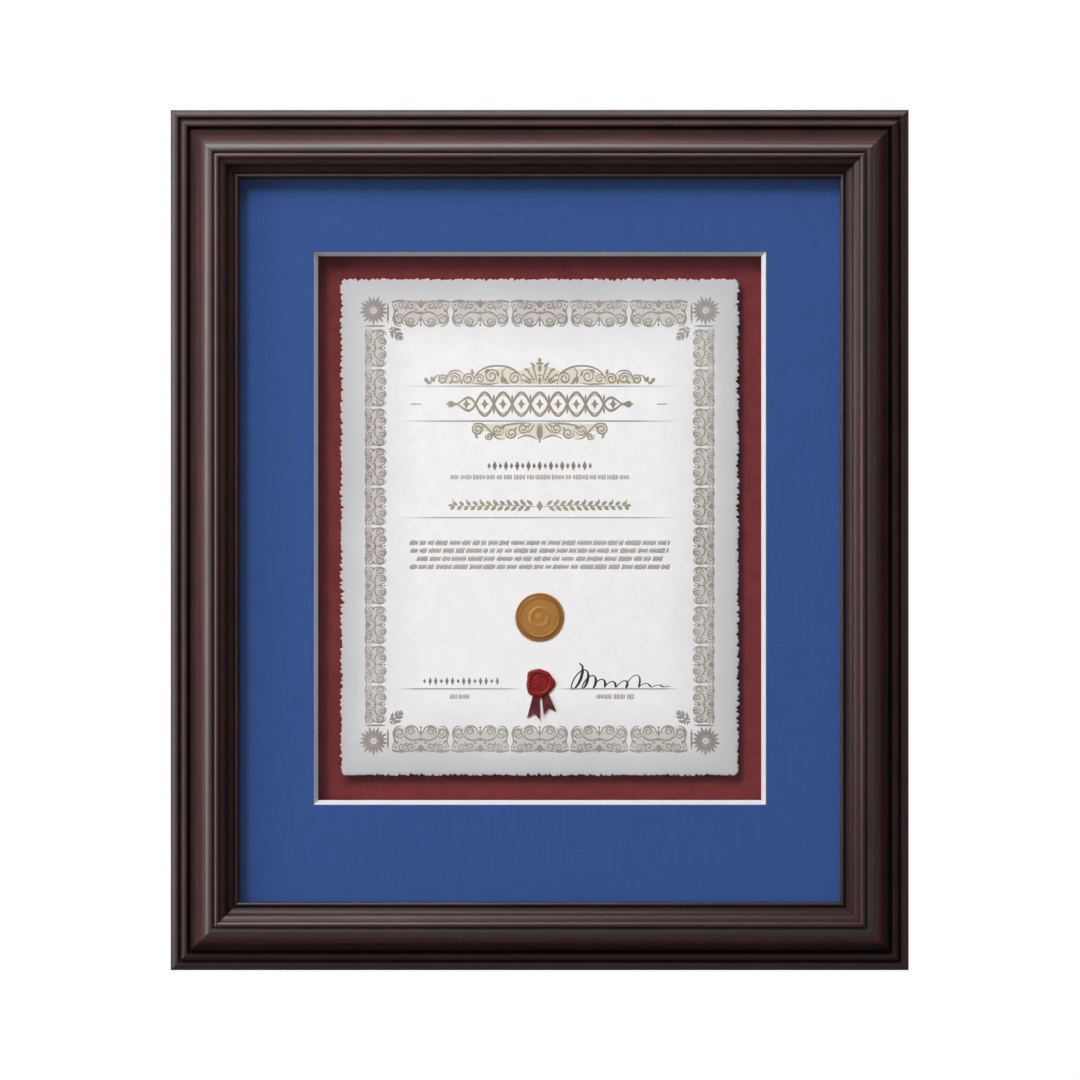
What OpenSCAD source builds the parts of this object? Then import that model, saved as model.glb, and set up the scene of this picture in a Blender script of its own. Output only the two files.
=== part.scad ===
// Wall-hung certificate frame: four mitred rails of stepped moulding, glazing, a window mat raised over
// a float-mounted sheet, and a back held in by turn buttons.
// The front faces -Y and up is +Z. The origin is the point that hangs on the nail in the wall:
// the apex of the hanger's middle notch, on the plane of the wall.
// A depth named _v is measured forwards from the rails' back; a place named _u is measured across a
// rail, from its outer edge towards the sight edge.

/* [Sheet] */
// Width of the certificate sheet
sheet_w = 203; // [180:1:420]
// Height of the certificate sheet
sheet_h = 254; // [180:1:500]
// Thickness of the sheet
sheet_t = 0.4; // [0.2:0.05:1]
// How far the torn edge wanders to each side
deckle = 0.9; // [0:0.1:1.5]
// Thickness of the paper hinges behind the sheet
tape_t = 0.15; // [0.1:0.05:0.4]
// Length of each paper hinge
tape_l = 34; // [15:1:60]
// Width of each paper hinge
tape_w = 18; // [8:1:30]
// Distance of each paper hinge from the sheet's upright centreline
tape_x = 58; // [25:1:75]

/* [Mats] */
// Margin of the mount board seen around the sheet
float_margin = 13; // [6:0.5:40]
// Width of the window mat seen at the left and the right
mat_side = 37.5; // [30:0.5:100]
// Width of the window mat seen above the window
mat_top = 37; // [30:0.5:100]
// Width of the window mat seen below the window
mat_foot = 49; // [30:0.5:120]
// Thickness of the mat's cloth facing
facing_t = 0.4; // [0.2:0.1:1]
// Thickness of the mat's white core
core_t = 2.2; // [1.2:0.1:4]
// Slope of the window's cut edge against the mat's face
bevel_angle = 45; // [40:1:70]
// Width of the strips that hold the mat off the mount board
spacer_w = 25; // [8:1:30]
// Height of the strips that hold the mat off the mount board
spacer_h = 6; // [5:0.5:14]
// Thickness of the mount board
mount_board_t = 1.5; // [1:0.1:3]
// Thickness of the riser that floats the sheet
riser_t = 3; // [1:0.5:3.5]
// How far the riser stays back from the sheet's edge
riser_inset = 7; // [4:0.5:20]

/* [Glass and back] */
// Thickness of the glass
glass_t = 2; // [1.5:0.1:3]
// Thickness of the filler board
filler_t = 3; // [1:0.5:6]
// Thickness of the hardboard back
backing_t = 2.5; // [2:0.1:5]
// Gap between each board's edge and the wall of the rebate
fit_gap = 0.5; // [0.3:0.1:0.9]

/* [Rails] */
// Width of each rail from outer edge to sight edge
rail_w = 35; // [34:0.5:60]
// Width of the rebate under the sight edge
rebate_w = 7; // [5:0.5:9]
// Thickness of the lip at the sight edge
lip_t = 3.2; // [2:0.1:6]
// Number of flats along each quarter round of the moulding
arc_steps = 6; // [4:1:10]

/* [Moulding, from the outer edge inwards] */
// Width of the round at the outer edge
edge_w = 4; // [2:0.1:4.5]
// Rise of the round at the outer edge
edge_rise = 2.8; // [1:0.1:4]
// Width of the quirk beside it
quirk_w = 1.2; // [0.6:0.1:1.6]
// Depth of the quirk beside it
quirk_d = 1; // [0.5:0.1:2]
// Width of the stepped round
step_w = 3.4; // [2:0.1:3.8]
// Rise of the stepped round
step_rise = 2.4; // [1:0.1:3]
// Width of the deep quirk
deep_w = 1.6; // [0.8:0.1:2]
// Depth of the deep quirk below the stepped round
deep_d = 2.6; // [1:0.1:4]
// Width of the large round
ovolo_w = 7.2; // [5:0.1:7.8]
// Rise of the large round
ovolo_rise = 7; // [4:0.1:8]
// How far the stepped round's top stands over the foot of the large round
step_lift = 1.5; // [0.5:0.1:2.5]
// Width of the crest round
crest_w = 4.6; // [3:0.1:5.2]
// Rise of the crest round
crest_rise = 2.6; // [1:0.1:4]
// Width of the fine grooves
groove_w = 0.7; // [0.4:0.1:1]
// Depth of the fine grooves
groove_d = 0.8; // [0.4:0.1:1]
// Width of the bead on the crest
bead_w = 2.8; // [1.6:0.1:3.4]
// Rise of the bead on the crest
bead_rise = 1.4; // [0.6:0.1:2]
// Width of the round that falls towards the glass
inner_w = 3.3; // [2:0.1:3.9]
// Fall of the round that falls towards the glass
inner_fall = 1.8; // [1:0.1:3]
// Drop of the small step above the hollow
fillet_d = 0.4; // [0.2:0.1:1]
// Fall of the hollow
cove_fall = 1.8; // [1:0.1:3]
// Width of the bead at the sight edge
lip_bead_w = 2.2; // [1.4:0.1:2.8]
// Height of the bead at the sight edge
lip_bead_rise = 1.2; // [0.6:0.1:2]

/* [Corner nails] */
// Depth of each corner nail in the wood
v_nail_h = 10; // [6:0.5:10]
// Length of each wing of a corner nail
v_nail_arm = 5.5; // [4:0.5:6]
// Thickness of a corner nail
v_nail_t = 0.6; // [0.4:0.1:1]
// Angle between each wing and the mitre
v_nail_angle = 50; // [35:1:60]
// Distance of the outer nail from the frame's corner, along the mitre
v_nail_outer = 10; // [8:0.5:12]
// Distance between the two nails of a corner, along the mitre
v_nail_pitch = 15; // [10:0.5:18]

/* [Turn buttons] */
// Distance of each button's pivot from the sight corner, along the rail
button_inset = 80; // [40:1:85]
// Distance of each pivot from the rebate's edge, across the rail
pivot_back = 8; // [7:0.5:8]
// Radius of the button's round end at the pivot
button_r = 6; // [5:0.25:6.5]
// Radius of the button's tip
tip_r = 3.5; // [2:0.25:4]
// Distance from the pivot to the centre of the tip's round
button_l = 15; // [13:0.5:15.5]
// Thickness of the button
button_t = 1.1; // [0.8:0.1:1.2]
// Height of the pressed rib on the button
rib_h = 0.4; // [0.2:0.1:0.6]
// Width of the pressed rib on the button
rib_w = 2.4; // [1.6:0.2:4]
// Running gap on each face of the button
button_gap = 0.15; // [0.05:0.05:0.25]
// Radius of the screw's shank
screw_r = 1.5; // [1.2:0.1:1.8]
// Running clearance around the screw's shank
screw_play = 0.08; // [0.02:0.01:0.1]
// Depth of the screw in the wood
screw_l = 9; // [6:0.5:10]
// Radius of the screw's head
head_r = 2.9; // [2.4:0.1:3.5]
// Height of the screw's head
head_h = 1.3; // [1:0.1:1.3]
// Width of the cross slot's arms
slot_w = 0.8; // [0.5:0.1:1]

/* [Hanger] */
// Distance from the frame's top edge down to the hanging point
hang_drop = 18; // [14:0.5:22]
// Length of the hanger
hanger_l = 45; // [40:1:60]
// Height of the hanger's plate above the hanging point
hanger_up = 7.5; // [6:0.5:9]
// Thickness of the hanger's plate
hanger_t = 0.8; // [0.6:0.1:1]
// Length of the flat tab at each end
hanger_tab = 8; // [7:0.5:10]
// Radius of the hanger's corners
hanger_round = 3; // [0.5:0.5:3.5]
// Length of the sloped leg between tab and bridge
hanger_leg = 2.5; // [1.5:0.5:4]
// Distance from notch to notch
notch_pitch = 3; // [2:0.5:3.5]
// Depth of the notches
notch_d = 2; // [1:0.25:3]
// Number of notches to each side of the middle one
notch_side_count = 3; // [1:1:3]
// Radius of the hanger nail's shank
nail_r = 0.8; // [0.6:0.1:1]
// Depth of the hanger nails in the wood
nail_l = 10; // [6:0.5:12]
// Radius of the hanger nail's head
nail_head_r = 1.8; // [1.5:0.1:2.2]
// Height of the hanger nail's head
nail_head_h = 0.7; // [0.4:0.1:1]

/* [Wall bumpers] */
// Distance from the rails' back to the wall
stand_off = 3; // [3:0.25:5]
// Radius of a bumper's foot on the rail
bumper_r = 5.5; // [4:0.25:7]
// How much narrower a bumper's face is
bumper_taper = 0.6; // [0:0.1:1.5]
// Distance of each bumper from the frame's side
bumper_inset = 32; // [24:1:60]

/* [Seals] */
// Radius of the foil seal, to the tips of its points
foil_r = 13; // [8:0.5:20]
// Number of points around the foil seal
foil_points = 48; // [24:1:60]
// Length of the points of the foil seal
foil_point_l = 0.6; // [0.3:0.1:1.5]
// Thickness of the foil seal
foil_t = 0.25; // [0.1:0.05:0.4]
// Height of the embossed rings of the foil seal
foil_emboss = 0.12; // [0.05:0.01:0.2]
// Distance of the foil seal below the sheet's middle
foil_drop = 46; // [20:1:60]
// Mean radius of the wax seal
wax_r = 7.4; // [5:0.2:10]
// Thickness of the wax seal at its rim
wax_t = 1.4; // [0.8:0.1:1.8]
// Depth of the pressed hollow in the wax seal
wax_press = 0.5; // [0.2:0.1:0.6]
// Distance of the wax seal below the sheet's middle
wax_drop = 79.5; // [74:0.5:80]
// Length of the ribbon's tails from the wax seal's centre
ribbon_l = 18; // [12:0.5:22]
// Width of the ribbon
ribbon_w = 6.6; // [4:0.2:8]
// Depth of the notch in each ribbon end
ribbon_notch = 2.6; // [1:0.2:4]
// Thickness of the ribbon
ribbon_t = 0.25; // [0.1:0.05:0.4]

/* [Hidden] */
$fn = 48;
// Amount by which a cutting shape runs past what it cuts
past = 1;
// Clearance around a nail or screw in the wood
pilot_gap = 0.03;

// Plan sizes, from the sheet outwards
window_w = sheet_w + 2 * float_margin;
window_h = sheet_h + 2 * float_margin;
sight_w = window_w + 2 * mat_side;
sight_h = window_h + mat_top + mat_foot;
outer_w = sight_w + 2 * rail_w;
outer_h = sight_h + 2 * rail_w;
board_w = sight_w + 2 * (rebate_w - fit_gap);
board_h = sight_h + 2 * (rebate_w - fit_gap);
frame_z = hang_drop - outer_h / 2;
window_z = frame_z + (mat_foot - mat_top) / 2;

// Depths of what lies in the rebate, from the back forwards
filler_v = backing_t;
mount_board_v = filler_v + filler_t;
spacer_v = mount_board_v + mount_board_t;
tape_v = spacer_v + riser_t;
sheet_v = tape_v + tape_t;
seal_v = sheet_v + sheet_t;
core_v = spacer_v + spacer_h;
facing_v = core_v + core_t;
glass_v = facing_v + facing_t;
rebate_d = glass_v + glass_t;

// Levels of the moulding's face, from the sight edge up to the crest and down to the outer edge
sight_v = rebate_d + lip_t;
lip_bead_v = sight_v + lip_bead_rise;
fillet_v = lip_bead_v + cove_fall;
inner_v = fillet_v + fillet_d;
crest_v = inner_v + inner_fall;
crest_foot_v = crest_v - crest_rise;
ovolo_foot_v = crest_foot_v - ovolo_rise;
step_v = ovolo_foot_v + step_lift;
step_foot_v = step_v - step_rise;
edge_foot_v = step_foot_v - edge_rise;
bead_v = crest_v + bead_rise;

// Places of the moulding's members across the rail
step_u = edge_w + quirk_w;
ovolo_u = step_u + step_w + deep_w;
crest_u = ovolo_u + ovolo_w;
bead_u = crest_u + crest_w + groove_w;
inner_u = bead_u + bead_w;
cove_u = inner_u + inner_w;
lip_bead_u = rail_w - lip_bead_w;

rebate_u = rail_w - rebate_w;
pivot_u = rebate_u - pivot_back;
bumper_u = rebate_u / 2;
bevel_run = core_t / tan(bevel_angle);
facing_run = facing_t / tan(bevel_angle);
button_v = button_gap + button_t;
head_v = button_v + button_gap;
hanger_x = hanger_l / 2 - hanger_tab / 2;
hanger_u = hang_drop - (hanger_up - notch_d) / 2;

// Each turn button: its name, the turn of its side about Y, and which way along that side
BUTTONS = [
    ["button_top_left", 180, 1], ["button_top_right", 180, -1],
    ["button_bottom_left", 0, -1], ["button_bottom_right", 0, 1],
    ["button_left_upper", 90, -1], ["button_left_lower", 90, 1],
    ["button_right_upper", -90, 1], ["button_right_lower", -90, -1]
];

// The sides: 0 is the bottom, 180 the top, 90 the left and -90 the right
function is_upright(turn) = abs(turn) == 90;
function side_length(turn) = is_upright(turn) ? outer_h : outer_w;
function side_reach(turn) = (is_upright(turn) ? outer_w : outer_h) / 2;
function pivot_x(turn) = side_length(turn) / 2 - rail_w - button_inset;

// Quarter rounds from [u, v]: bulging as it rises, bulging as it falls, and hollow as it falls
function round_up(u, v, w, h) =
    [for (i = [0:arc_steps]) let (a = 90 * i / arc_steps)
        [u + w * (1 - cos(a)), v + h * sin(a)]];
function round_down(u, v, w, h) =
    [for (i = [0:arc_steps]) let (a = 90 * i / arc_steps)
        [u + w * sin(a), v - h * (1 - cos(a))]];
function hollow_down(u, v, w, h) =
    [for (i = [0:arc_steps]) let (a = 90 * i / arc_steps)
        [u + w * (1 - cos(a)), v - h * sin(a)]];
function half_bead(u, v, w, h) =
    [for (i = [0:2 * arc_steps]) let (a = 90 * i / arc_steps)
        [u + w / 2 * (1 - cos(a)), v + h * sin(a)]];

// Section of a rail as [u, v], from the back of the outer edge round the face to the rebate
function rail_section() = concat(
    [[0, 0]],
    round_up(0, edge_foot_v, edge_w, edge_rise),
    [[edge_w, step_foot_v - quirk_d], [step_u, step_foot_v - quirk_d]],
    round_up(step_u, step_foot_v, step_w, step_rise),
    [[step_u + step_w, step_v - deep_d], [ovolo_u, step_v - deep_d]],
    round_up(ovolo_u, ovolo_foot_v, ovolo_w, ovolo_rise),
    round_up(crest_u, crest_foot_v, crest_w, crest_rise),
    [[crest_u + crest_w, crest_v - groove_d], [bead_u, crest_v - groove_d]],
    half_bead(bead_u, crest_v, bead_w, bead_rise),
    round_down(inner_u, crest_v, inner_w, inner_fall),
    hollow_down(cove_u, fillet_v, lip_bead_u - groove_w - cove_u, cove_fall),
    [[lip_bead_u - groove_w, sight_v], [lip_bead_u, sight_v]],
    half_bead(lip_bead_u, sight_v, lip_bead_w, lip_bead_rise),
    [[rail_w, rebate_d], [rebate_u, rebate_d], [rebate_u, 0]]
);

// Outline of a corner nail whose fold lies on the mitre, with its wings spreading along +X
function v_outline(arm, t) =
    let (d = [cos(v_nail_angle), sin(v_nail_angle)], n = [-d[1], d[0]] * t / 2,
         fold = t / 2 / d[1], outer = arm * d + n, inner = arm * d - n)
    [[-fold, 0], [outer[0], -outer[1]], [inner[0], -inner[1]], [fold, 0], inner, outer];

// Rectangle with round corners, about the origin
function rounded_plan(w, h, r) =
    [for (c = [0:3], i = [0:arc_steps])
        let (a = 90 * (c + i / arc_steps), sx = c == 0 || c == 3 ? 1 : -1, sy = c < 2 ? 1 : -1)
        [sx * (w / 2 - r) + r * cos(a), sy * (h / 2 - r) + r * sin(a)]];

// Wander of the torn edge at s millimetres along a side, as a sum of waves of unlike length
torn_pitch = 3.4;
function torn(s) = deckle * (0.48 * sin(23 * s) + 0.32 * sin(61 * s + 40) + 0.2 * sin(139 * s + 110));
function torn_side(start, along, out, length, phase) =
    let (n = round(length / torn_pitch))
    [for (i = [0:n - 1]) start + along * length * i / n + out * torn(length * i / n + phase)];
function torn_plan(w, h) = concat(
    torn_side([-w / 2, -h / 2], [1, 0], [0, -1], w, 0),
    torn_side([w / 2, -h / 2], [0, 1], [1, 0], h, 311),
    torn_side([w / 2, h / 2], [-1, 0], [0, 1], w, 727),
    torn_side([-w / 2, h / 2], [0, -1], [-1, 0], h, 1153)
);

// Irregular round outline of a pressed blob of wax
function wax_plan(r) =
    [for (a = [0:9:351])
        let (s = r * (1 + 0.035 * sin(3 * a + 20) + 0.025 * sin(5 * a) + 0.02 * sin(8 * a + 70)))
        [s * cos(a), s * sin(a)]];

// Puts children, drawn with X along a side, Y across the rail and Z forwards, on that side
module on_side(turn) {
    translate([0, -stand_off, frame_z]) rotate([0, turn, 0])
        translate([0, 0, -side_reach(turn)]) rotate([90, 0, 0]) children();
}

// Makes a flat outline a board whose back lies v in front of the rails' back
module board(v, t, z = frame_z) {
    translate([0, -stand_off - v, z]) rotate([90, 0, 0]) linear_extrude(t) children();
}

module full_board(v, t) {
    board(v, t) square([board_w, board_h], center = true);
}

// Plan of a rail between its two mitres, running past its long sides
module mitre_plan(length) {
    near = length / 2 + past;
    far = length / 2 - rail_w - past;
    polygon([[-near, -past], [near, -past], [far, rail_w + past], [-far, rail_w + past]]);
}

// Corner nails of both ends of a side, or the slots for them
module side_corner_nails(turn, start, depth, play) {
    for (end = [0, 1], i = [0, 1])
        mirror([end, 0, 0]) translate([-side_length(turn) / 2, 0, start]) rotate(45)
            translate([v_nail_outer + i * v_nail_pitch, 0, 0]) linear_extrude(depth)
                polygon(v_outline(v_nail_arm + play, v_nail_t + 2 * play));
}

// Puts children at both hanger nails, seen as on_side sees the top rail
module at_hanger_nails() {
    for (side = [-1, 1]) translate([side * hanger_x, hanger_u, 0]) children();
}

module rail(turn) {
    color([0.25, 0.13, 0.13]) on_side(turn) difference() {
        intersection() {
            rotate([90, 0, 90]) linear_extrude(side_length(turn) + 2 * past, center = true)
                polygon(rail_section());
            translate([0, 0, -past]) linear_extrude(bead_v + 2 * past) mitre_plan(side_length(turn));
        }
        side_corner_nails(turn, -past, v_nail_h + past + pilot_gap, pilot_gap);
        for (side = [-1, 1]) translate([side * pivot_x(turn), pivot_u, -past])
            cylinder(h = screw_l + past + pilot_gap, r = screw_r + pilot_gap);
        if (turn == 180) at_hanger_nails()
            translate([0, 0, -past]) cylinder(h = nail_l + past + pilot_gap, r = nail_r + pilot_gap);
    }
}

module corner_nails() {
    color([0.6, 0.6, 0.62]) for (turn = [0, 180]) on_side(turn) side_corner_nails(turn, 0, v_nail_h, 0);
}

module glass_pane() {
    color([0.8, 0.9, 0.9, 0.3]) full_board(glass_v, glass_t);
}

// Sheet of the window mat from depth v, whose window grows forwards by run over its thickness
module mat_sheet(v, t, back_w, back_h, run) {
    lean = run / t;
    difference() {
        full_board(v, t);
        translate([0, -stand_off - v, window_z]) rotate([90, 0, 0]) intersection() {
            rotate([90, 0, 0]) linear_extrude(window_h + board_h, center = true)
                polygon(window_section(back_w / 2, t, lean));
            rotate([90, 0, 90]) linear_extrude(window_w + board_w, center = true)
                polygon(window_section(back_h / 2, t, lean));
        }
    }
}

// Section of the window's cut as [half width, depth], running past both faces
function window_section(half, t, lean) =
    let (back = half - past * lean, front = half + (t + past) * lean)
    [[-back, -past], [back, -past], [front, t + past], [-front, t + past]];

module window_mat_core() {
    color("white")
        mat_sheet(core_v, core_t, window_w - 2 * bevel_run, window_h - 2 * bevel_run, bevel_run);
}

module window_mat_facing() {
    color([0.21, 0.32, 0.54]) mat_sheet(facing_v, facing_t, window_w, window_h, facing_run);
}

// A strip along one side of the boards; the upright ones fit between the level ones
module spacer(turn) {
    length = is_upright(turn) ? board_h - 2 * spacer_w : board_w;
    reach = (is_upright(turn) ? board_w : board_h) / 2;
    color([0.93, 0.93, 0.9]) translate([0, -stand_off - spacer_v, frame_z]) rotate([0, turn, 0])
        translate([-length / 2, -spacer_h, -reach]) cube([length, spacer_h, spacer_w]);
}

module mount_board() {
    color([0.44, 0.2, 0.21]) full_board(mount_board_v, mount_board_t);
}

module float_riser() {
    color([0.95, 0.95, 0.93]) board(spacer_v, riser_t, window_z)
        square([sheet_w - 2 * riser_inset, sheet_h - 2 * riser_inset], center = true);
}

module hinge_tapes() {
    tape_z = window_z + sheet_h / 2 - riser_inset - tape_l / 2;
    color([0.9, 0.88, 0.8]) board(tape_v, tape_t, tape_z)
        for (side = [-1, 1]) translate([side * tape_x, 0]) square([tape_w, tape_l], center = true);
}

module certificate_sheet() {
    color([0.93, 0.92, 0.9]) board(sheet_v, sheet_t, window_z) polygon(torn_plan(sheet_w, sheet_h));
}

module foil_seal() {
    ring_r = foil_r - foil_point_l - 0.15 * foil_r;
    color("goldenrod") board(seal_v, foil_t, window_z - foil_drop) polygon(foil_plan());
    color("goldenrod") board(seal_v + foil_t, foil_emboss, window_z - foil_drop) {
        difference() {
            circle(ring_r);
            circle(0.9 * ring_r);
        }
        circle(0.45 * ring_r);
    }
}

// Pointed outline of the foil seal
function foil_plan() =
    [for (i = [0:2 * foil_points - 1]) let (r = foil_r - (i % 2) * foil_point_l, a = 180 * i / foil_points)
        [r * cos(a), r * sin(a)]];

// Plan of both ribbon tails, hanging from the origin
module ribbon_plan() {
    for (lean = [-9, 16]) rotate(lean)
        polygon([[-ribbon_w / 2, 0], [-ribbon_w / 2, -ribbon_l], [0, ribbon_notch - ribbon_l],
                 [ribbon_w / 2, -ribbon_l], [ribbon_w / 2, 0]]);
}

module seal_ribbon() {
    color([0.45, 0.07, 0.07]) board(seal_v, ribbon_t, window_z - wax_drop) ribbon_plan();
}

module wax_seal() {
    color([0.6, 0.12, 0.1]) translate([0, -stand_off - seal_v, window_z - wax_drop]) rotate([90, 0, 0])
        difference() {
            union() {
                linear_extrude(wax_t - wax_press) polygon(wax_plan(wax_r));
                rotate_extrude() polygon(half_bead(0.67 * wax_r, wax_t - wax_press, 0.26 * wax_r, wax_press));
            }
            translate([0, 0, -past]) linear_extrude(ribbon_t + past) ribbon_plan();
        }
}

module filler_board() {
    color([0.85, 0.84, 0.8]) full_board(filler_v, filler_t);
}

module backing_panel() {
    color([0.42, 0.29, 0.18]) full_board(0, backing_t);
}

// Outline of a plate with a round of radius a at the origin and one of radius b at length l along +Y
module taper_plan(a, b, l) {
    s = (a - b) / l;
    c = sqrt(1 - s * s);
    circle(a);
    translate([0, l]) circle(b);
    polygon([[a * c, a * s], [b * c, l + b * s], [-b * c, l + b * s], [-a * c, a * s]]);
}

module turn_button(turn, side) {
    rib_start = button_r + rib_w / 2;
    color([0.62, 0.62, 0.64]) on_side(turn) translate([side * pivot_x(turn), pivot_u, -button_v]) {
        difference() {
            linear_extrude(button_t) taper_plan(button_r, tip_r, button_l);
            translate([0, 0, -past]) cylinder(h = button_t + 2 * past, r = screw_r + screw_play);
        }
        translate([0, rib_start, -rib_h])
            linear_extrude(rib_h) taper_plan(rib_w / 2, rib_w / 2, button_l - rib_start);
    }
}

module button_screw() {
    slot_l = 1.2 * head_r;
    difference() {
        rotate_extrude() polygon(concat(
            [[0, -head_v], [head_r, -head_v]],
            [for (i = [1:arc_steps]) let (a = 90 * i / arc_steps)
                [head_r * cos(a), -head_v - head_h * sin(a)]]));
        for (a = [0, 90]) rotate(a) translate([-slot_l / 2, -slot_w / 2, -head_v - head_h - past])
            cube([slot_l, slot_w, past + 0.6 * head_h]);
    }
    translate([0, 0, -head_v]) cylinder(h = head_v + screw_l - 2 * screw_r, r = screw_r);
    translate([0, 0, screw_l - 2 * screw_r]) cylinder(h = 2 * screw_r, r1 = screw_r, r2 = 0.1);
}

module button_screws() {
    color([0.75, 0.75, 0.76]) for (b = BUTTONS)
        on_side(b[1]) translate([b[2] * pivot_x(b[1]), pivot_u, 0]) button_screw();
}

// Section of the hanger along its length as [x, distance behind the rail], running past both ends
function hanger_section() =
    let (end = hanger_l / 2 + past, foot = hanger_l / 2 - hanger_tab, top = foot - hanger_leg,
         rise = stand_off - hanger_t, shift = hanger_t * (norm([hanger_leg, rise]) - hanger_leg) / rise,
         under = [[end, 0], [foot, 0], [top, rise]],
         over = [[top + shift, stand_off], [foot + shift, hanger_t], [end, hanger_t]])
    concat(under, [for (i = [2:-1:0]) [-under[i][0], under[i][1]]],
           [for (i = [2:-1:0]) [-over[i][0], over[i][1]]], over);

module sawtooth_hanger() {
    height = hanger_up + notch_d;
    notch_half = notch_pitch / 2 * (notch_d + past) / notch_d;
    color([0.7, 0.7, 0.72]) on_side(180) difference() {
        intersection() {
            translate([0, hanger_u, 0]) rotate([90, 0, 0]) linear_extrude(height + 2 * past, center = true)
                mirror([0, 1]) polygon(hanger_section());
            translate([0, hanger_u, -stand_off - past]) linear_extrude(stand_off + 2 * past)
                polygon(rounded_plan(hanger_l, height, hanger_round));
        }
        for (i = [-notch_side_count:notch_side_count])
            translate([i * notch_pitch, hang_drop, -stand_off - past]) linear_extrude(stand_off + past)
                polygon([[0, 0], [notch_half, notch_d + past], [-notch_half, notch_d + past]]);
        at_hanger_nails() translate([0, 0, -hanger_t - past])
            cylinder(h = hanger_t + 2 * past, r = nail_r + pilot_gap);
    }
}

module hanger_nails() {
    color([0.78, 0.74, 0.6]) on_side(180) at_hanger_nails() {
        translate([0, 0, -hanger_t - nail_head_h]) cylinder(h = nail_head_h, r = nail_head_r);
        translate([0, 0, -hanger_t]) cylinder(h = hanger_t + nail_l - 3 * nail_r, r = nail_r);
        translate([0, 0, nail_l - 3 * nail_r]) cylinder(h = 3 * nail_r, r1 = nail_r, r2 = 0.1);
    }
}

module bumper(side) {
    bumper_x = outer_w / 2 - bumper_inset;
    color([0.12, 0.12, 0.12]) on_side(0) translate([side * bumper_x, bumper_u, -stand_off])
        cylinder(h = stand_off, r1 = bumper_r - bumper_taper, r2 = bumper_r);
}

rail(180);  // rail_top
rail(0);  // rail_bottom
rail(90);  // rail_left
rail(-90);  // rail_right
corner_nails();
glass_pane();
window_mat_facing();
window_mat_core();
spacer(180);  // spacer_top
spacer(0);  // spacer_bottom
spacer(90);  // spacer_left
spacer(-90);  // spacer_right
mount_board();
float_riser();
hinge_tapes();
certificate_sheet();
foil_seal();
wax_seal();
seal_ribbon();
filler_board();
backing_panel();
for (b = BUTTONS) turn_button(b[1], b[2]);
button_screws();
sawtooth_hanger();
hanger_nails();
bumper(-1);  // bumper_left
bumper(1);  // bumper_right
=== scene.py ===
import math
import random

import bmesh
import bpy
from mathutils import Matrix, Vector, noise


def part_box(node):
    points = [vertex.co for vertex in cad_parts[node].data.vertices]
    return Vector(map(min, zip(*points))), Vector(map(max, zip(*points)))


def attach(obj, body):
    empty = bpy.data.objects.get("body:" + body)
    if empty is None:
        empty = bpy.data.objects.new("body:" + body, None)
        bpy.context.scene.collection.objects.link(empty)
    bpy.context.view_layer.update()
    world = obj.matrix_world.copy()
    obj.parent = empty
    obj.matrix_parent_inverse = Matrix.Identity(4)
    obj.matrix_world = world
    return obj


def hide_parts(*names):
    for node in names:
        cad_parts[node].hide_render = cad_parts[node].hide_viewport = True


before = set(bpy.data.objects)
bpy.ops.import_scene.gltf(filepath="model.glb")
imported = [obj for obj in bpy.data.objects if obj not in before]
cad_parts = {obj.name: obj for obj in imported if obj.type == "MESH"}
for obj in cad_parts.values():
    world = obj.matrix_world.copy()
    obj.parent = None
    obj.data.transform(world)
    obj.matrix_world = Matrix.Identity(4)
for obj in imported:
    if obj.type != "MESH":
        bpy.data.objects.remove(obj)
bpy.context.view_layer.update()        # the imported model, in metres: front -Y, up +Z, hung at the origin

mm = 0.001

# Places in millimetres, as the CAD has them; a depth grows towards the viewer and is -Y
place = {
    "outerX": 187.0,        # half the frame's width
    "topZ": 18.0,
    "footZ": -418.0,
    "middleZ": -200.0,
    "windowZ": -194.0,      # middle of the mat's window and of the sheet
    "paperDepth": 13.55,    # face of the sheet
    "backDepth": 3.0,       # back of the rails
    "railWide": 35.0,
}

print("stage: helpers")


# Selects one piece alone, or nothing
def pick(piece=None):
    bpy.ops.object.select_all(action="DESELECT")
    if piece:
        piece.select_set(True)
        bpy.context.view_layer.objects.active = piece


def editAll(piece):
    pick(piece)
    bpy.ops.object.mode_set(mode="EDIT")
    bpy.ops.mesh.select_all(action="SELECT")


def leaveEdit():
    bpy.ops.object.mode_set(mode="OBJECT")


def applyPlace(piece):
    pick(piece)
    bpy.ops.object.transform_apply(location=True, rotation=True, scale=True)


def applyModifier(piece, name, kind, **settings):
    modifier = piece.modifiers.new(name, kind)
    for key, value in settings.items():
        setattr(modifier, key, value)
    pick(piece)
    bpy.ops.object.modifier_apply(modifier=modifier.name)


# Rounds the edges that are sharper than an angle, by a width in millimetres
def easeEdges(piece, wide, segments=2, sharp=35):
    applyModifier(piece, "easedEdges", "BEVEL", width=wide * mm, segments=segments, limit_method="ANGLE",
                  angle_limit=math.radians(sharp), use_clamp_overlap=True)


def outwards(piece):
    editAll(piece)
    bpy.ops.mesh.normals_make_consistent(inside=False)
    leaveEdit()


def copyOf(nodeName, name):
    piece = bpy.data.objects.new(name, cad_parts[nodeName].data.copy())
    bpy.context.scene.collection.objects.link(piece)
    editAll(piece)
    if piece.data.has_custom_normals:
        bpy.ops.mesh.customdata_custom_splitnormals_clear()
    bpy.ops.mesh.remove_doubles(threshold=0.000002)
    bpy.ops.mesh.dissolve_limited(angle_limit=math.radians(0.3))
    leaveEdit()
    return piece


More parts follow.
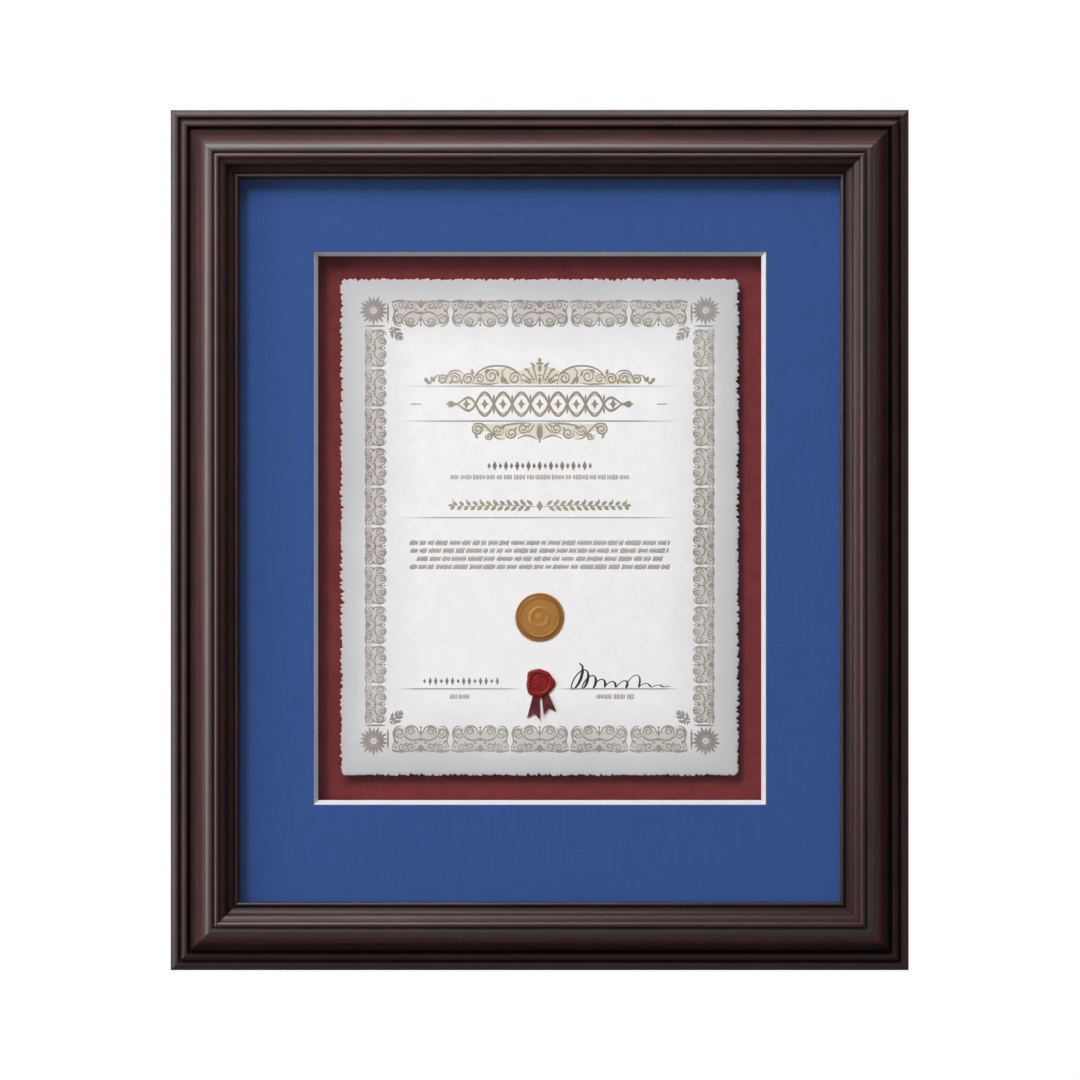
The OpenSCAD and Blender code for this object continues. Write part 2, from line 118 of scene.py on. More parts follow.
def finish(piece, slot, material, *nodes, body="frame", angle=30):
    applyPlace(piece)
    bpy.ops.object.shade_smooth_by_angle(angle=math.radians(angle))
    piece.data.materials.clear()
    piece.data.materials.append(material)
    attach(piece, body)
    if nodes:
        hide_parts(*nodes)


# Makes one shape from each row of values
def each(kind, *rows, **more):
    return [kind(*row, **more) for row in rows]


print("stage: shader groups")
bench = {}      # the node tree that the next helpers work in and, in a material, its main nodes


def give(value, socket):
    if isinstance(value, bpy.types.NodeSocket):
        bench["tree"].links.new(value, socket)
    else:
        socket.default_value = (*value, 1) if socket.type == "RGBA" and len(value) == 3 else value


# The inputs are a row of values, or values by name
def node(kind, inputs=(), **settings):
    made = bench["tree"].nodes.new("ShaderNode" + kind)
    for key, value in settings.items():
        setattr(made, key, value)
    for key, value in inputs.items() if isinstance(inputs, dict) else enumerate(inputs):
        give(value, made.inputs[key])
    return made


def maths(operation, first, second=0.5, third=0.5, clamp=False):
    return node("Math", (first, second, third), operation=operation, use_clamp=clamp).outputs[0]


def times(first, second, more=None, clamp=False):
    if more is None:
        return maths("MULTIPLY", first, second, clamp=clamp)
    return maths("MULTIPLY_ADD", first, second, more, clamp)


def plus(first, second):
    return maths("ADD", first, second)


def stretch(vector, factors):
    return node("VectorMath", (vector, factors), operation="MULTIPLY").outputs[0]


def noiseOf(vector, scale, detail=3.0, roughness=0.5, distortion=0.0):
    return node("TexNoise", {"Vector": vector, "Scale": scale, "Detail": detail, "Roughness": roughness,
                             "Distortion": distortion}).outputs["Fac"]


def ramp(value, *stops):
    made = node("ValToRGB", (value,))
    bar = made.color_ramp
    while len(bar.elements) < len(stops):
        bar.elements.new(0.5)
    for element, (position, colour) in zip(bar.elements, stops):
        element.position = position
        element.color = (*(colour if isinstance(colour, tuple) else [colour] * 3), 1)
    return made.outputs["Color"]


def between(value, low, high, lowTo=0.0, highTo=1.0):
    return node("MapRange", (value, low, high, lowTo, highTo)).outputs["Result"]


# The same over the span that noise covers
def swing(value, lowTo, highTo):
    return between(value, 0.3, 0.7, lowTo, highTo)


def blend(factor, first, second):
    return node("Mix", {0: factor, 6: first, 7: second}, data_type="RGBA").outputs[2]    # its colour sockets


def newGroup(name, **sizes):
    group = bpy.data.node_groups.new(name, "ShaderNodeTree")
    group.interface.new_socket("Vector", in_out="INPUT", socket_type="NodeSocketVector")
    for title, value in sizes.items():
        socket = group.interface.new_socket(title.replace("_", " "), in_out="INPUT", socket_type="NodeSocketFloat")
        socket.default_value = value
    bench["tree"] = group
    return group.nodes.new("NodeGroupInput").outputs


def closeGroup(**values):
    group = bench["tree"]
    for title in values:
        group.interface.new_socket(title, in_out="OUTPUT", socket_type="NodeSocketFloat")
    out = group.nodes.new("NodeGroupOutput").inputs
    for title, value in values.items():
        give(value, out[title])
    return group


# Grain of a stained hardwood, running along X; the vector comes in millimetres
def makeGrain():
    given = newGroup("hardwoodGrain", Figure_Size=9.0)
    spot = given["Vector"]
    figure = noiseOf(stretch(spot, (0.035, 1, 1)), maths("DIVIDE", 1.0, given["Figure Size"]), 4.0, 0.55, 0.8)
    streak = noiseOf(stretch(spot, (0.02, 1, 1)), 0.9, 3.0, 0.6)
    pores = between(noiseOf(stretch(spot, (0.11, 1, 1)), 2.6, 2.0), 0.6, 0.72)
    return closeGroup(Figure=figure, Streak=streak, Pores=pores, Height=times(pores, -0.7, times(streak, 0.4)))


# Plain weave seen from the front, its threads along X and Z, with slubs where a thread swells
def makeWeave():
    given = newGroup("clothWeave", Thread_Pitch=0.5, Slub_Length=14.0)
    spot = given["Vector"]
    parts = node("SeparateXYZ", (spot,)).outputs
    turn = maths("DIVIDE", math.pi, given["Thread Pitch"])
    waves = []
    for name, drift in (("X", 3.1), ("Z", 8.7)):
        wander = noiseOf(stretch(spot, (0.05, 0.05, 0.05)), drift, 2.0)
        waves.append(maths("ABSOLUTE", maths("SINE", times(parts[name], turn, times(wander, 5.0)))))
    threads = maths("MAXIMUM", *waves)
    size = maths("DIVIDE", 1.0, given["Slub Length"])
    level, upright = (noiseOf(stretch(spot, factors), size, 3.0, 0.6) for factors in ((1, 1, 22), (22, 1, 1)))
    slubs = times(plus(level, upright), 0.5)
    return closeGroup(Threads=threads, Slubs=slubs, Height=times(slubs, 0.8, threads))


# Pressed fibre, from fine paper to coarse hardboard
def makeFibre():
    given = newGroup("pressedFibre", Fibre_Size=1.0)
    spot = given["Vector"]
    size = maths("DIVIDE", 1.0, given["Fibre Size"])
    mottle = noiseOf(spot, times(size, 0.12), 3.0, 0.6)
    fibres = noiseOf(stretch(spot, (1, 1, 0.45)), size, 5.0, 0.65, 1.2)
    flecks = between(noiseOf(spot, times(size, 0.8), 2.0), 0.64, 0.72)
    return closeGroup(Mottle=mottle, Fibres=fibres, Flecks=flecks, Height=times(flecks, 0.3, fibres))


# Wear where a surface bulges and darkening where it is hollow, broken up by noise; Pointiness is 0.5 on the flat. On
# the wax the darkening is painted shade
def makeWear():
    given = newGroup("edgeWear", Reach=0.04, Patch_Size=4.0)
    bulge = node("NewGeometry").outputs["Pointiness"]
    patches = noiseOf(given["Vector"], maths("DIVIDE", 1.0, given["Patch Size"]), 4.0, 0.6)
    high = maths("DIVIDE", maths("SUBTRACT", bulge, 0.505), given["Reach"], clamp=True)
    low = maths("DIVIDE", maths("SUBTRACT", 0.495, bulge), given["Reach"], clamp=True)
    return closeGroup(Wear=times(high, between(patches, 0.35, 0.6)), Dirt=times(low, between(patches, 0.25, 0.5)))


grainGroup, weaveGroup, fibreGroup, wearGroup = makeGrain(), makeWeave(), makeFibre(), makeWear()

print("stage: materials")


# Puts an empty finish on the bench and returns the place on the object, in millimetres
def newFinish(name):
    material = bpy.data.materials.new(name)
    material.use_nodes = True
    material.node_tree.nodes.clear()
    bench["tree"] = material.node_tree
    bench.update(material=material, shader=node("BsdfPrincipled"), output=node("OutputMaterial"))
    give(bench["shader"].outputs[0], bench["output"].inputs["Surface"])
    return node("VectorMath", {0: node("TexCoord").outputs["Object"], "Scale": 1000.0}, operation="SCALE").outputs[0]


# An effect at a place on the object, with the sizes that its group takes
def effect(group, spot, **sizes):
    named = {key.replace("_", " "): value for key, value in sizes.items()}
    return node("Group", {"Vector": spot, **named}, node_tree=group).outputs


# Fills the shader's sockets, gives it relief (height, its depth in millimetres, strength) and returns the finish
def settle(relief, colour, roughness, specular=0.5, **others):
    others.update(Base_Color=colour, Roughness=roughness, Specular_IOR_Level=specular)
    for key, value in others.items():
        give(value, bench["shader"].inputs[key.replace("_", " ")])
    if relief:
        height, depth, strength = relief
        bump = node("Bump", {"Height": height, "Distance": depth * mm, "Strength": strength})
        give(bump.outputs[0], bench["shader"].inputs["Normal"])
    return bench["material"]


rails = {
    "darkStain": (0.0125, 0.0062, 0.0058),
    "redStain": (0.075, 0.019, 0.019),
    "glaze": (0.005, 0.0026, 0.0026),
    "bareBack": (0.13, 0.058, 0.032),
    "bareStreak": (0.07, 0.028, 0.016),
    "figureSize": 8.0,
    "roughness": 0.5,
    "coatRoughness": 0.48,
    "easedEdge": 0.1,
    # how far the red shows through the dark stain, from the outer edge (0) to the sight edge (1); where the large
    # round meets the crest and on the bead it is raised as a painted highlight
    "redStainAndHighlightBands": ((0.0, 0.2), (0.10, 0.2), (0.125, 0.1), (0.16, 0.2), (0.22, 0.3), (0.25, 0.0), (0.32, 0.0),
                 (0.37, 0.1), (0.42, 0.7), (0.48, 1.0), (0.51, 0.5), (0.60, 0.3), (0.64, 0.1), (0.66, 0.9),
                 (0.72, 0.7), (0.76, 0.3), (0.88, 0.3), (0.93, 0.05), (0.96, 0.3), (1.0, 0.2)),
    # how much lacquer is left, in the same places: built up on the rounds, thin in the hollows
    "lacquerBands": ((0.0, 0.1), (0.014, 0.65), (0.09, 0.5), (0.115, 0.0), (0.17, 0.1), (0.19, 0.3), (0.225, 0.2),
                     (0.25, 0.0), (0.42, 0.0), (0.46, 0.2), (0.50, 1.0), (0.60, 1.0), (0.62, 0.1), (0.65, 0.7),
                     (0.70, 0.7), (0.73, 0.1), (0.76, 0.38), (0.86, 0.22), (0.92, 0.05), (0.95, 0.55), (1.0, 0.3)),
}


# Stained moulding; lookAcross and start turn a place into millimetres from the rail's outer edge
def makeRailWood(name, lookAcross, start, upright):
    spot = newFinish(name)
    turned = node("Mapping", {"Vector": spot, "Rotation": (0, math.pi / 2 if upright else 0, 0),
                              "Location": (start, 7 * start, 0)}).outputs[0]
    grain = effect(grainGroup, turned, Figure_Size=rails["figureSize"])
    across = node("VectorMath", (spot, lookAcross), operation="DOT_PRODUCT").outputs["Value"]
    across = maths("DIVIDE", plus(across, start), place["railWide"])
    # red stain across the rail, with a painted highlight near the crest and on the bead
    bands = ramp(times(grain["Figure"], 0.02, plus(across, -0.01)), *rails["redStainAndHighlightBands"])
    show = times(bands, swing(grain["Figure"], 0.6, 1.15), clamp=True)
    stainAndHighlight = blend(show, rails["darkStain"], rails["redStain"])
    streaked = blend(between(grain["Streak"], 0.35, 0.7, 0.0, 0.45), stainAndHighlight, rails["glaze"])
    wear = effect(wearGroup, spot, Reach=0.08, Patch_Size=18.0)
    worn = blend(times(wear["Wear"], 0.25), streaked, rails["redStain"])
    filled = blend(times(grain["Pores"], 0.7), worn, rails["glaze"])
    fromBack = -place["backDepth"] - 0.4, -place["backDepth"] - 0.1
    isBack = between(node("SeparateXYZ", (spot,)).outputs["Y"], *fromBack)
    bare = blend(swing(grain["Streak"], 0.0, 1.0), rails["bareBack"], rails["bareStreak"])
    sheen = swing(grain["Streak"], rails["roughness"] - 0.05, rails["roughness"] + 0.07)
    built = times(ramp(across, *rails["lacquerBands"]), swing(grain["Figure"], 0.8, 1.1))
    return settle((grain["Height"], 0.05, 0.5), blend(isBack, filled, bare), times(isBack, 0.25, sheen), 0.1,
                  Coat_Weight=times(built, maths("SUBTRACT", 1.0, isBack), clamp=True),
                  Coat_Roughness=rails["coatRoughness"], Coat_IOR=1.75)


mats = {
    "blueThread": (0.0285, 0.078, 0.262),
    "blueGap": (0.0185, 0.055, 0.196),
    "threadPitch": 0.46,
    "burgundy": (0.189, 0.0272, 0.0315),
    "burgundyDeep": (0.142, 0.0178, 0.0215),
    "core": (0.58, 0.56, 0.62),
    "coreDeep": (0.53, 0.51, 0.57),
}


def makeLinen():
    weave = effect(weaveGroup, newFinish("blueLinen"), Thread_Pitch=mats["threadPitch"], Slub_Length=16.0)
    tone = times(weave["Threads"], 0.5, times(weave["Slubs"], 0.9))
    return settle((weave["Height"], 0.09, 0.6), blend(between(tone, 0.55, 0.98), mats["blueGap"], mats["blueThread"]),
                  swing(weave["Slubs"], 0.95, 0.82), 0.15, Sheen_Weight=0.05, Sheen_Roughness=0.5)


# Boards and papers: a base tone, a second tone by mottle and fibre, and flecks
def makeBoard(name, first, second, fibreSize, roughness, depth, fleck=None):
    fibre = effect(fibreGroup, newFinish(name), Fibre_Size=fibreSize)
    mixed = times(plus(fibre["Mottle"], fibre["Fibres"]), 0.5)
    colour = blend(between(mixed, 0.38, 0.62), first, second)
    if fleck:
        colour = blend(times(fibre["Flecks"], 0.6), colour, fleck)
    return settle((fibre["Height"], depth, 1.0), colour,
                  swing(fibre["Fibres"], roughness - 0.06, roughness + 0.06), 0.2)


# The hardboard's back has the mark of the screen that it was pressed on
hardboard = {
    "brown": (0.105, 0.052, 0.024),
    "tan": (0.21, 0.115, 0.056),
    "patch": (0.14, 0.082, 0.045),
    "fleck": (0.05, 0.024, 0.012),
    "screenPitch": 1.5,
}


def makeHardboard():
    spot = newFinish("hardboardBack")
    fibre = effect(fibreGroup, spot, Fibre_Size=1.6)
    screen = effect(weaveGroup, spot, Thread_Pitch=hardboard["screenPitch"], Slub_Length=40.0)["Threads"]
    mixed = times(screen, 0.25, plus(fibre["Fibres"], -0.12))
    colour = blend(between(mixed, 0.35, 0.7), hardboard["brown"], hardboard["tan"])
    colour = blend(between(fibre["Mottle"], 0.4, 0.7, 0.0, 0.5), colour, hardboard["patch"])
    colour = blend(times(fibre["Flecks"], 0.7), colour, hardboard["fleck"])
    return settle((plus(fibre["Height"], screen), 0.12, 0.8), colour, swing(fibre["Fibres"], 0.62, 0.82), 0.25)


paper = {
    "halfWide": 100.6,      # to the middle of the torn edge
    "halfHigh": 125.7,
    "raised": 0.5,          # how far its middle lies above the window's
    "thickness": 0.34,
    "deckle": 1.5,          # how far the torn edge wanders inwards
    "deckleOut": 0.8,       # and outwards
    "spacing": 0.6,         # distance between points along the torn edge
    "tornSides": (0.7, 1.0, 0.75, 1.0),    # how rough the foot, right, top and left sides are
    "cornerWear": 2.4,      # how round its corners have worn
    "cockle": 0.1,          # how deep the margin waves
    "white": (0.852, 0.837, 0.849),
    "shade": (0.815, 0.80, 0.815),
    "margin": (0.50, 0.49, 0.51),
    "torn": (0.42, 0.405, 0.42),
}


def makePaper():
    spot = newFinish("certificatePaper")
    fibre = effect(fibreGroup, spot, Fibre_Size=0.9)
    parts = node("SeparateXYZ", (spot,)).outputs
    fromSide = maths("SUBTRACT", paper["halfWide"], maths("ABSOLUTE", parts["X"]))
    upwards = maths("SUBTRACT", parts["Z"], place["windowZ"])
    fromEnd = maths("SUBTRACT", paper["halfHigh"], maths("ABSOLUTE", upwards))
    nearest = maths("SMOOTH_MIN", fromSide, fromEnd, 16.0)
    shaken = times(noiseOf(spot, 0.014), 18.0, plus(nearest, -9.0))
    darker = ramp(between(shaken, 0.0, 40.0), (0.0, 1.0), (0.22, 0.8), (0.5, 0.3), (1.0, 0.0))
    sheet = blend(between(fibre["Mottle"], 0.35, 0.65), paper["white"], paper["shade"])
    toned = blend(darker, sheet, paper["margin"])
    speckled = blend(between(fibre["Fibres"], 0.5, 0.75, 0.0, 0.16), toned, paper["torn"])
    torn = node("Attribute", attribute_name="tornEdge").outputs["Fac"]
    return settle((fibre["Height"], 0.05, 0.6), blend(times(torn, 0.55), speckled, paper["torn"]),
                  swing(fibre["Fibres"], 0.85, 0.95), 0.15)


# Printing ink, which lies unevenly on the fibres
def makeInk(name, full, thin, roughness=0.6, metallic=0.0):
    spot = newFinish(name)
    fibre = effect(fibreGroup, spot, Fibre_Size=0.8)
    uneven = times(plus(fibre["Fibres"], noiseOf(spot, 0.03, 2.0)), 0.5)
    return settle((fibre["Height"], 0.01, 0.5), blend(between(uneven, 0.38, 0.62), full, thin),
                  swing(fibre["Fibres"], roughness - 0.1, roughness + 0.1), 0.3, Metallic=metallic)


seals = {
    "foilZ": -239.2,
    "foilRadius": 13.0,
    "foilPoints": 48,
    "foil": (0.50, 0.24, 0.05),
    "foilDeep": (0.25, 0.10, 0.02),
    "foilRimHighlight": (0.6, 0.38, 0.15),
    # how deep its colour is, from the middle (0) to the tips (1)
    "foilTones": ((0.0, 0.1), (0.1, 0.25), (0.6, 0.25), (0.74, 0.5), (0.82, 0.95), (0.9, 0.8), (0.96, 0.2),
                  (1.0, 0.0)),
    "waxZ": -272.5,
    "waxRadius": 7.0,
    "wax": (0.27, 0.012, 0.009),
    "waxDeepAndShade": (0.11, 0.004, 0.004),
    "waxRubbed": (0.42, 0.03, 0.03),
    "ribbonLeans": (-7.0, 14.5),
    "ribbonStarts": (-0.9, 1.2),
    "ribbonLengths": (18.3, 15.9),
    "ribbonHalf": 3.3,         # at the foot; the folds draw it in towards the wax
    "ribbonNotch": 2.8,
    "ribbon": (0.12, 0.0095, 0.0095),
    "ribbonDeepAndShade": (0.04, 0.003, 0.004),
}


def makeFoil():
    spot = newFinish("goldFoil")
    fromMiddle = node("VectorMath", (spot, (0, 0, seals["foilZ"])), operation="SUBTRACT").outputs[0]
    radius = node("VectorMath", (stretch(fromMiddle, (1, 0, 1)),), operation="LENGTH").outputs["Value"]
    creases = noiseOf(spot, 0.8, 4.0, 0.6)
    tone = ramp(maths("DIVIDE", radius, seals["foilRadius"]), *seals["foilTones"])
    gold = blend(times(creases, 0.35, plus(tone, -0.17), clamp=True), seals["foil"], seals["foilDeep"])
    # painted highlight: the outer rim turns a lighter gold, a painted halo round the seal
    rimHighlight = between(radius, 0.94 * seals["foilRadius"], seals["foilRadius"], 0.0, 0.8)
    return settle((creases, 0.05, 0.6), blend(rimHighlight, gold, seals["foilRimHighlight"]),
                  swing(creases, 0.36, 0.52), Metallic=0.6)


def makeWax():
    spot = newFinish("sealingWax")
    cloud = noiseOf(spot, 0.35, 4.0, 0.6, 0.5)
    wear = effect(wearGroup, spot, Reach=0.06, Patch_Size=2.0)
    base = blend(between(cloud, 0.35, 0.65), seals["wax"], seals["waxDeepAndShade"])
    bright = blend(times(wear["Wear"], 0.5), base, seals["waxRubbed"])
    # painted shade: the hollows of the wax are darkened towards the deep tone
    return settle((noiseOf(spot, 1.4), 0.08, 0.6), blend(times(wear["Dirt"], 0.9), bright, seals["waxDeepAndShade"]),
                  swing(cloud, 0.28, 0.45), 0.13)


def makeRibbon():
    spot = newFinish("redRibbon")
    weave = effect(weaveGroup, spot, Thread_Pitch=0.28, Slub_Length=9.0)
    # painted shade and sheen: dark and light bands along the ribbon stand for its folds
    foldShading = noiseOf(stretch(spot, (1, 1, 0.25)), 0.4, 2.0)
    tone = between(times(weave["Threads"], 0.35, times(foldShading, 0.8)), 0.35, 0.95)
    return settle((weave["Threads"], 0.03, 0.6), blend(tone, seals["ribbonDeepAndShade"], seals["ribbon"]),
                  swing(weave["Slubs"], 0.5, 0.4), 0.25)


metals = {
    "rubbed": (0.8, 0.79, 0.78),
    "hollowTint": (0.12, 0.11, 0.10),
    # each plating: tint, second tint, roughness, size of the spangle
    "zincPlate": ((0.52, 0.53, 0.54), (0.36, 0.37, 0.385), 0.38, 2.5),
    "brightSteel": ((0.6, 0.6, 0.61), (0.45, 0.45, 0.46), 0.3, 1.2),
}


# Plated or bright steel with faint spangle, drawn lines and rubbed edges
def makeSteel(name):
    light, dark, roughness, patch = metals[name]
    spot = newFinish(name)
    spangle = node("TexVoronoi", {"Vector": spot, "Scale": 1 / patch, "Randomness": 1.0}).outputs["Color"]
    drawn = noiseOf(stretch(spot, (1, 1, 0.08)), 2.2)
    wear = effect(wearGroup, spot, Reach=0.1, Patch_Size=3.0)
    tone = times(node("SeparateColor", (spangle,)).outputs[0], 0.5, times(drawn, 0.5))
    rubbed = blend(times(wear["Wear"], 0.5), blend(between(tone, 0.2, 0.8), light, dark), metals["rubbed"])
    return settle((drawn, 0.02, 0.4), blend(times(wear["Dirt"], 0.7), rubbed, metals["hollowTint"]),
                  between(tone, 0.2, 0.8, roughness - 0.07, roughness + 0.07), Metallic=1.0)


bumpers = {"black": (0.012, 0.012, 0.013), "bloom": (0.035, 0.034, 0.033), "worn": (0.07, 0.068, 0.065)}


def makeRubber():
    spot = newFinish("blackRubber")
    grit = noiseOf(spot, 3.0, 4.0, 0.7)
    wear = effect(wearGroup, spot, Reach=0.08, Patch_Size=2.0)
    base = blend(between(noiseOf(spot, 0.4, 2.0), 0.35, 0.7), bumpers["black"], bumpers["bloom"])
    return settle((grit, 0.06, 0.7), blend(times(wear["Wear"], 0.5), base, bumpers["worn"]),
                  swing(grit, 0.65, 0.85), 0.35)


# Millimetres of air behind the pane and of its ground edge, and the coated glass's index
glass = {"backGap": 0.1, "groundEdge": 0.3, "index": 1.25}


# Coated glass that throws little back; lamps shine through it, so what lies under it is lit
def makeGlass():
    smear = noiseOf(newFinish("coatedGlass"), 0.02, 4.0, 0.6)
    settle(None, ramp(smear, (0.0, (0.985, 0.995, 0.99)), (1.0, (0.995, 1.0, 0.997))),
           between(smear, 0.45, 0.75, 0.0, 0.03), Transmission_Weight=1.0, IOR=glass["index"])
    clear = node("BsdfTransparent").outputs[0]
    path = node("LightPath").outputs
    shown = bench["shader"].outputs[0]
    for ray in ("Is Diffuse Ray", "Is Shadow Ray"):
        shown = node("MixShader", (path[ray], shown, clear)).outputs[0]
    give(shown, bench["output"].inputs["Surface"])
    return bench["material"]


print("stage: nodes that keep their shape")
zinc, brightSteel, rubber = makeSteel("zincPlate"), makeSteel("brightSteel"), makeRubber()
foamBoard = makeBoard("foamBoard", (0.82, 0.82, 0.80), (0.74, 0.74, 0.71), 1.2, 0.8, 0.06)
keptNodes = {
    "window_mat_facing": makeLinen(),
    "window_mat_core": makeBoard("matCore", mats["core"], mats["coreDeep"], 0.7, 0.85, 0.05),
    **dict.fromkeys(("spacer_top", "spacer_bottom", "spacer_left", "spacer_right", "float_riser"), foamBoard),
    "mount_board": makeBoard("burgundyBoard", mats["burgundy"], mats["burgundyDeep"], 1.1, 0.85, 0.08),
    "hinge_tapes": makeBoard("hingePaper", (0.80, 0.76, 0.66), (0.72, 0.68, 0.58), 0.6, 0.85, 0.03),
    "filler_board": makeBoard("fillerCard", (0.62, 0.59, 0.52), (0.52, 0.49, 0.43), 1.3, 0.85, 0.08,
                              (0.3, 0.27, 0.22)),
    "backing_panel": makeHardboard(),
    "corner_nails": zinc,
}
for name, material in keptNodes.items():
    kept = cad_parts[name]
    kept.data.materials.clear()
    kept.data.materials.append(material)

print("stage: rails")
railRuns = {
    # CAD node: material, the way across it, place of its outer edge, whether it stands upright
    "rail_left": ("mahoganyLeft", (1, 0, 0), place["outerX"], True),
    "rail_right": ("mahoganyRight", (-1, 0, 0), place["outerX"], True),
    "rail_top": ("mahoganyTop", (0, 0, -1), place["topZ"], False),
    "rail_bottom": ("mahoganyBottom", (0, 0, 1), -place["footZ"], False),
}
for name, run in railRuns.items():
    piece = copyOf(name, name.replace("rail_", "moulding_"))
    easeEdges(piece, rails["easedEdge"])
    finish(piece, "moulding_wood", makeRailWood(*run), name, angle=25)

print("stage: glass")
pane = copyOf("glass_pane", "coatedPane")
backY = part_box("glass_pane")[1].y
for vert in pane.data.vertices:
    if abs(vert.co.y - backY) < 0.00001:
        vert.co.y -= glass["backGap"] * mm
easeEdges(pane, glass["groundEdge"])
finish(pane, "picture_glass", makeGlass(), "glass_pane", angle=12)

print("stage: hardware")
hardware = {
    # CAD node: body, slot, material, width of the eased edge
    "button_screws": ("frame", "zinc_steel", brightSteel, 0.08),
    "sawtooth_hanger": ("frame", "zinc_steel", zinc, 0.1),
    "hanger_nails": ("frame", "zinc_steel", brightSteel, 0.08),
    "bumper_left": ("frame", "black_rubber", rubber, 0.5),
    "bumper_right": ("frame", "black_rubber", rubber, 0.5),
}
for side in ("top_left", "top_right", "bottom_left", "bottom_right", "left_upper", "left_lower", "right_upper",
             "right_lower"):
    hardware["button_" + side] = ("button_" + side, "zinc_steel", zinc, 0.12)
for name, (body, slotName, material, eased) in hardware.items():
    piece = copyOf(name, name + "_finished")
    easeEdges(piece, eased, 3)
    finish(piece, slotName, material, name, body=body)

print("stage: sheet")


# Wander of the torn edge at a distance along one side, and the finer fray on it
def tornShift(along):
    def wave(factor, start):
        return math.sin(math.radians(factor * along + start))
    coarse = 0.2 * wave(17, 0) + 0.26 * wave(67, 40) + 0.3 * wave(127, 110) + 0.24 * wave(193, 20)
    swell = 0.85 + 0.8 * noise.noise(Vector((along * 0.06, 9.2, 1.4)))
    fray = 0.34 * noise.noise(Vector((along * 0.5, 3.1, 0.2)))
    return min(paper["deckle"] * (coarse * swell + fray), paper["deckleOut"])


# Points round the sheet, kept back from the torn edge; calm takes the wander out of the inner rings
def sheetRing(back, calm):
    wide, high, corner = paper["halfWide"] - back, paper["halfHigh"] - back, paper["cornerWear"]
    corners = ((-1, -1), (1, -1), (1, 1), (-1, 1))
    ring = []
    for index, (sx, sz) in enumerate(corners):
        nx, nz = corners[(index + 1) % 4]
        length = 2 * (paper["halfWide"] if sx != nx else paper["halfHigh"])
        count = round(length / paper["spacing"])
        for step in range(count):
            t = step / count
            point = Vector(((sx + (nx - sx) * t) * wide, (sz + (nz - sz) * t) * high))
            middle = Vector([max(corner - far, min(far - corner, at)) for far, at in zip((wide, high), point)])
            fade = min(1.0, min(t, 1 - t) * length / corner)
            shift = tornShift(length * t + 389 * index) * calm * fade * paper["tornSides"][index]
            ring.append(middle + (point - middle).normalized() * (corner + shift))
    return ring


def makeSheet():
    count = len(sheetRing(0.0, 1.0))
    pick()
    bpy.ops.mesh.primitive_circle_add(vertices=count, radius=0.1, fill_type="NOTHING", location=(0, 0, 0))
    piece = bpy.context.object
    piece.name = "certificateSheet"
    # each ring: how far in it lies, how much it wanders, how far the thin edge dips
    steps = ((0.0, 1.0, 0.16), (0.35, 0.95, 0.05), (0.9, 0.8, 0.0), (2.0, 0.45, 0.0), (4.0, 0.1, 0.0),
             (7.0, 0.0, 0.0), (10.0, 0.0, 0.0), (12.5, 0.0, 0.0))
    editAll(piece)
    for index, (back, calm, dip) in enumerate(steps):
        if index:
            bpy.ops.mesh.extrude_edges_move()
        mesh = bmesh.from_edit_mesh(piece.data)
        mesh.verts.ensure_lookup_table()
        loop = sorted((v for v in mesh.verts if v.select), key=lambda v: v.index)
        for vert, (x, z) in zip(loop, sheetRing(back, calm)):
            swell = noise.noise(Vector((x * 0.05, z * 0.05, 1.7)))
            swell += 0.5 * noise.noise(Vector((x * 0.2, z * 0.2, 4.0)))
            margin = max(0.0, 1 - back / 11)
            depth = place["paperDepth"] - dip - paper["cockle"] * margin * (0.6 + 0.8 * swell)
            vert.co = (x * mm, -min(depth, place["paperDepth"]) * mm, (z + paper["raised"] + place["windowZ"]) * mm)
        bmesh.update_edit_mesh(piece.data)
    bpy.ops.mesh.edge_face_add()
    leaveEdit()
    shade = piece.data.attributes.new("tornEdge", "FLOAT", "POINT")
    fades = (1.0, 0.7, 0.35, 0.1)
    for index in range(len(fades) * count):
        shade.data[index].value = fades[index // count]
    outwards(piece)
    if piece.data.polygons[-1].normal.y > 0:
        editAll(piece)
        bpy.ops.mesh.flip_normals()
        leaveEdit()
    applyModifier(piece, "paperThickness", "SOLIDIFY", thickness=paper["thickness"] * mm, offset=-1.0)
    finish(piece, "certificate_paper", makePaper(), "certificate_sheet", angle=50)


makeSheet()

print("stage: printed strokes")
# A stroke is a list of (x, z, half width) in millimetres; a thick or thin line of ink follows it


def polar(radius, degrees):
    return radius * math.cos(math.radians(degrees)), radius * math.sin(math.radians(degrees))


def smoothed(*points, per=5):
    ends = (points[0], *points, points[-1])
    line = []
    for a, b, c, d in zip(ends, ends[1:], ends[2:], ends[3:]):
        for step in range(per):
            t = step / per
            line.append(tuple(0.5 * (2 * q + (r - p) * t + (2 * p - 5 * q + 4 * r - s) * t * t
                                     + (3 * q - p - 3 * r + s) * t ** 3) for p, q, r, s in zip(a, b, c, d)))
    return line + [points[-1]]


# A scroll that winds inwards and ends in an eye
def volute(x, z, radius, start, turns, width, steps=13):
    count = max(6, int(abs(turns) * steps))
    line = []
    for index in range(count + 1):
        t = index / count
        angle = math.radians(start) + 2 * math.pi * turns * t
        reach = radius * (1 - 0.8 * t)
        wide = width * (0.45 + 0.75 * math.sin(2.4 * t + 0.3)) if index < count else width * 1.25
        line.append((x + reach * math.cos(angle), z + reach * math.sin(angle), wide))
    return line


def leaf(x, z, length, turn, width, bend=0.0):
    line = []
    for t, share in ((0, 0.12), (0.25, 0.75), (0.5, 1.0), (0.75, 0.7), (1.0, 0.06)):
        dx, dz = polar(length * t, turn + bend * t)
        line.append((x + dx, z + dz, width * share))
    return line


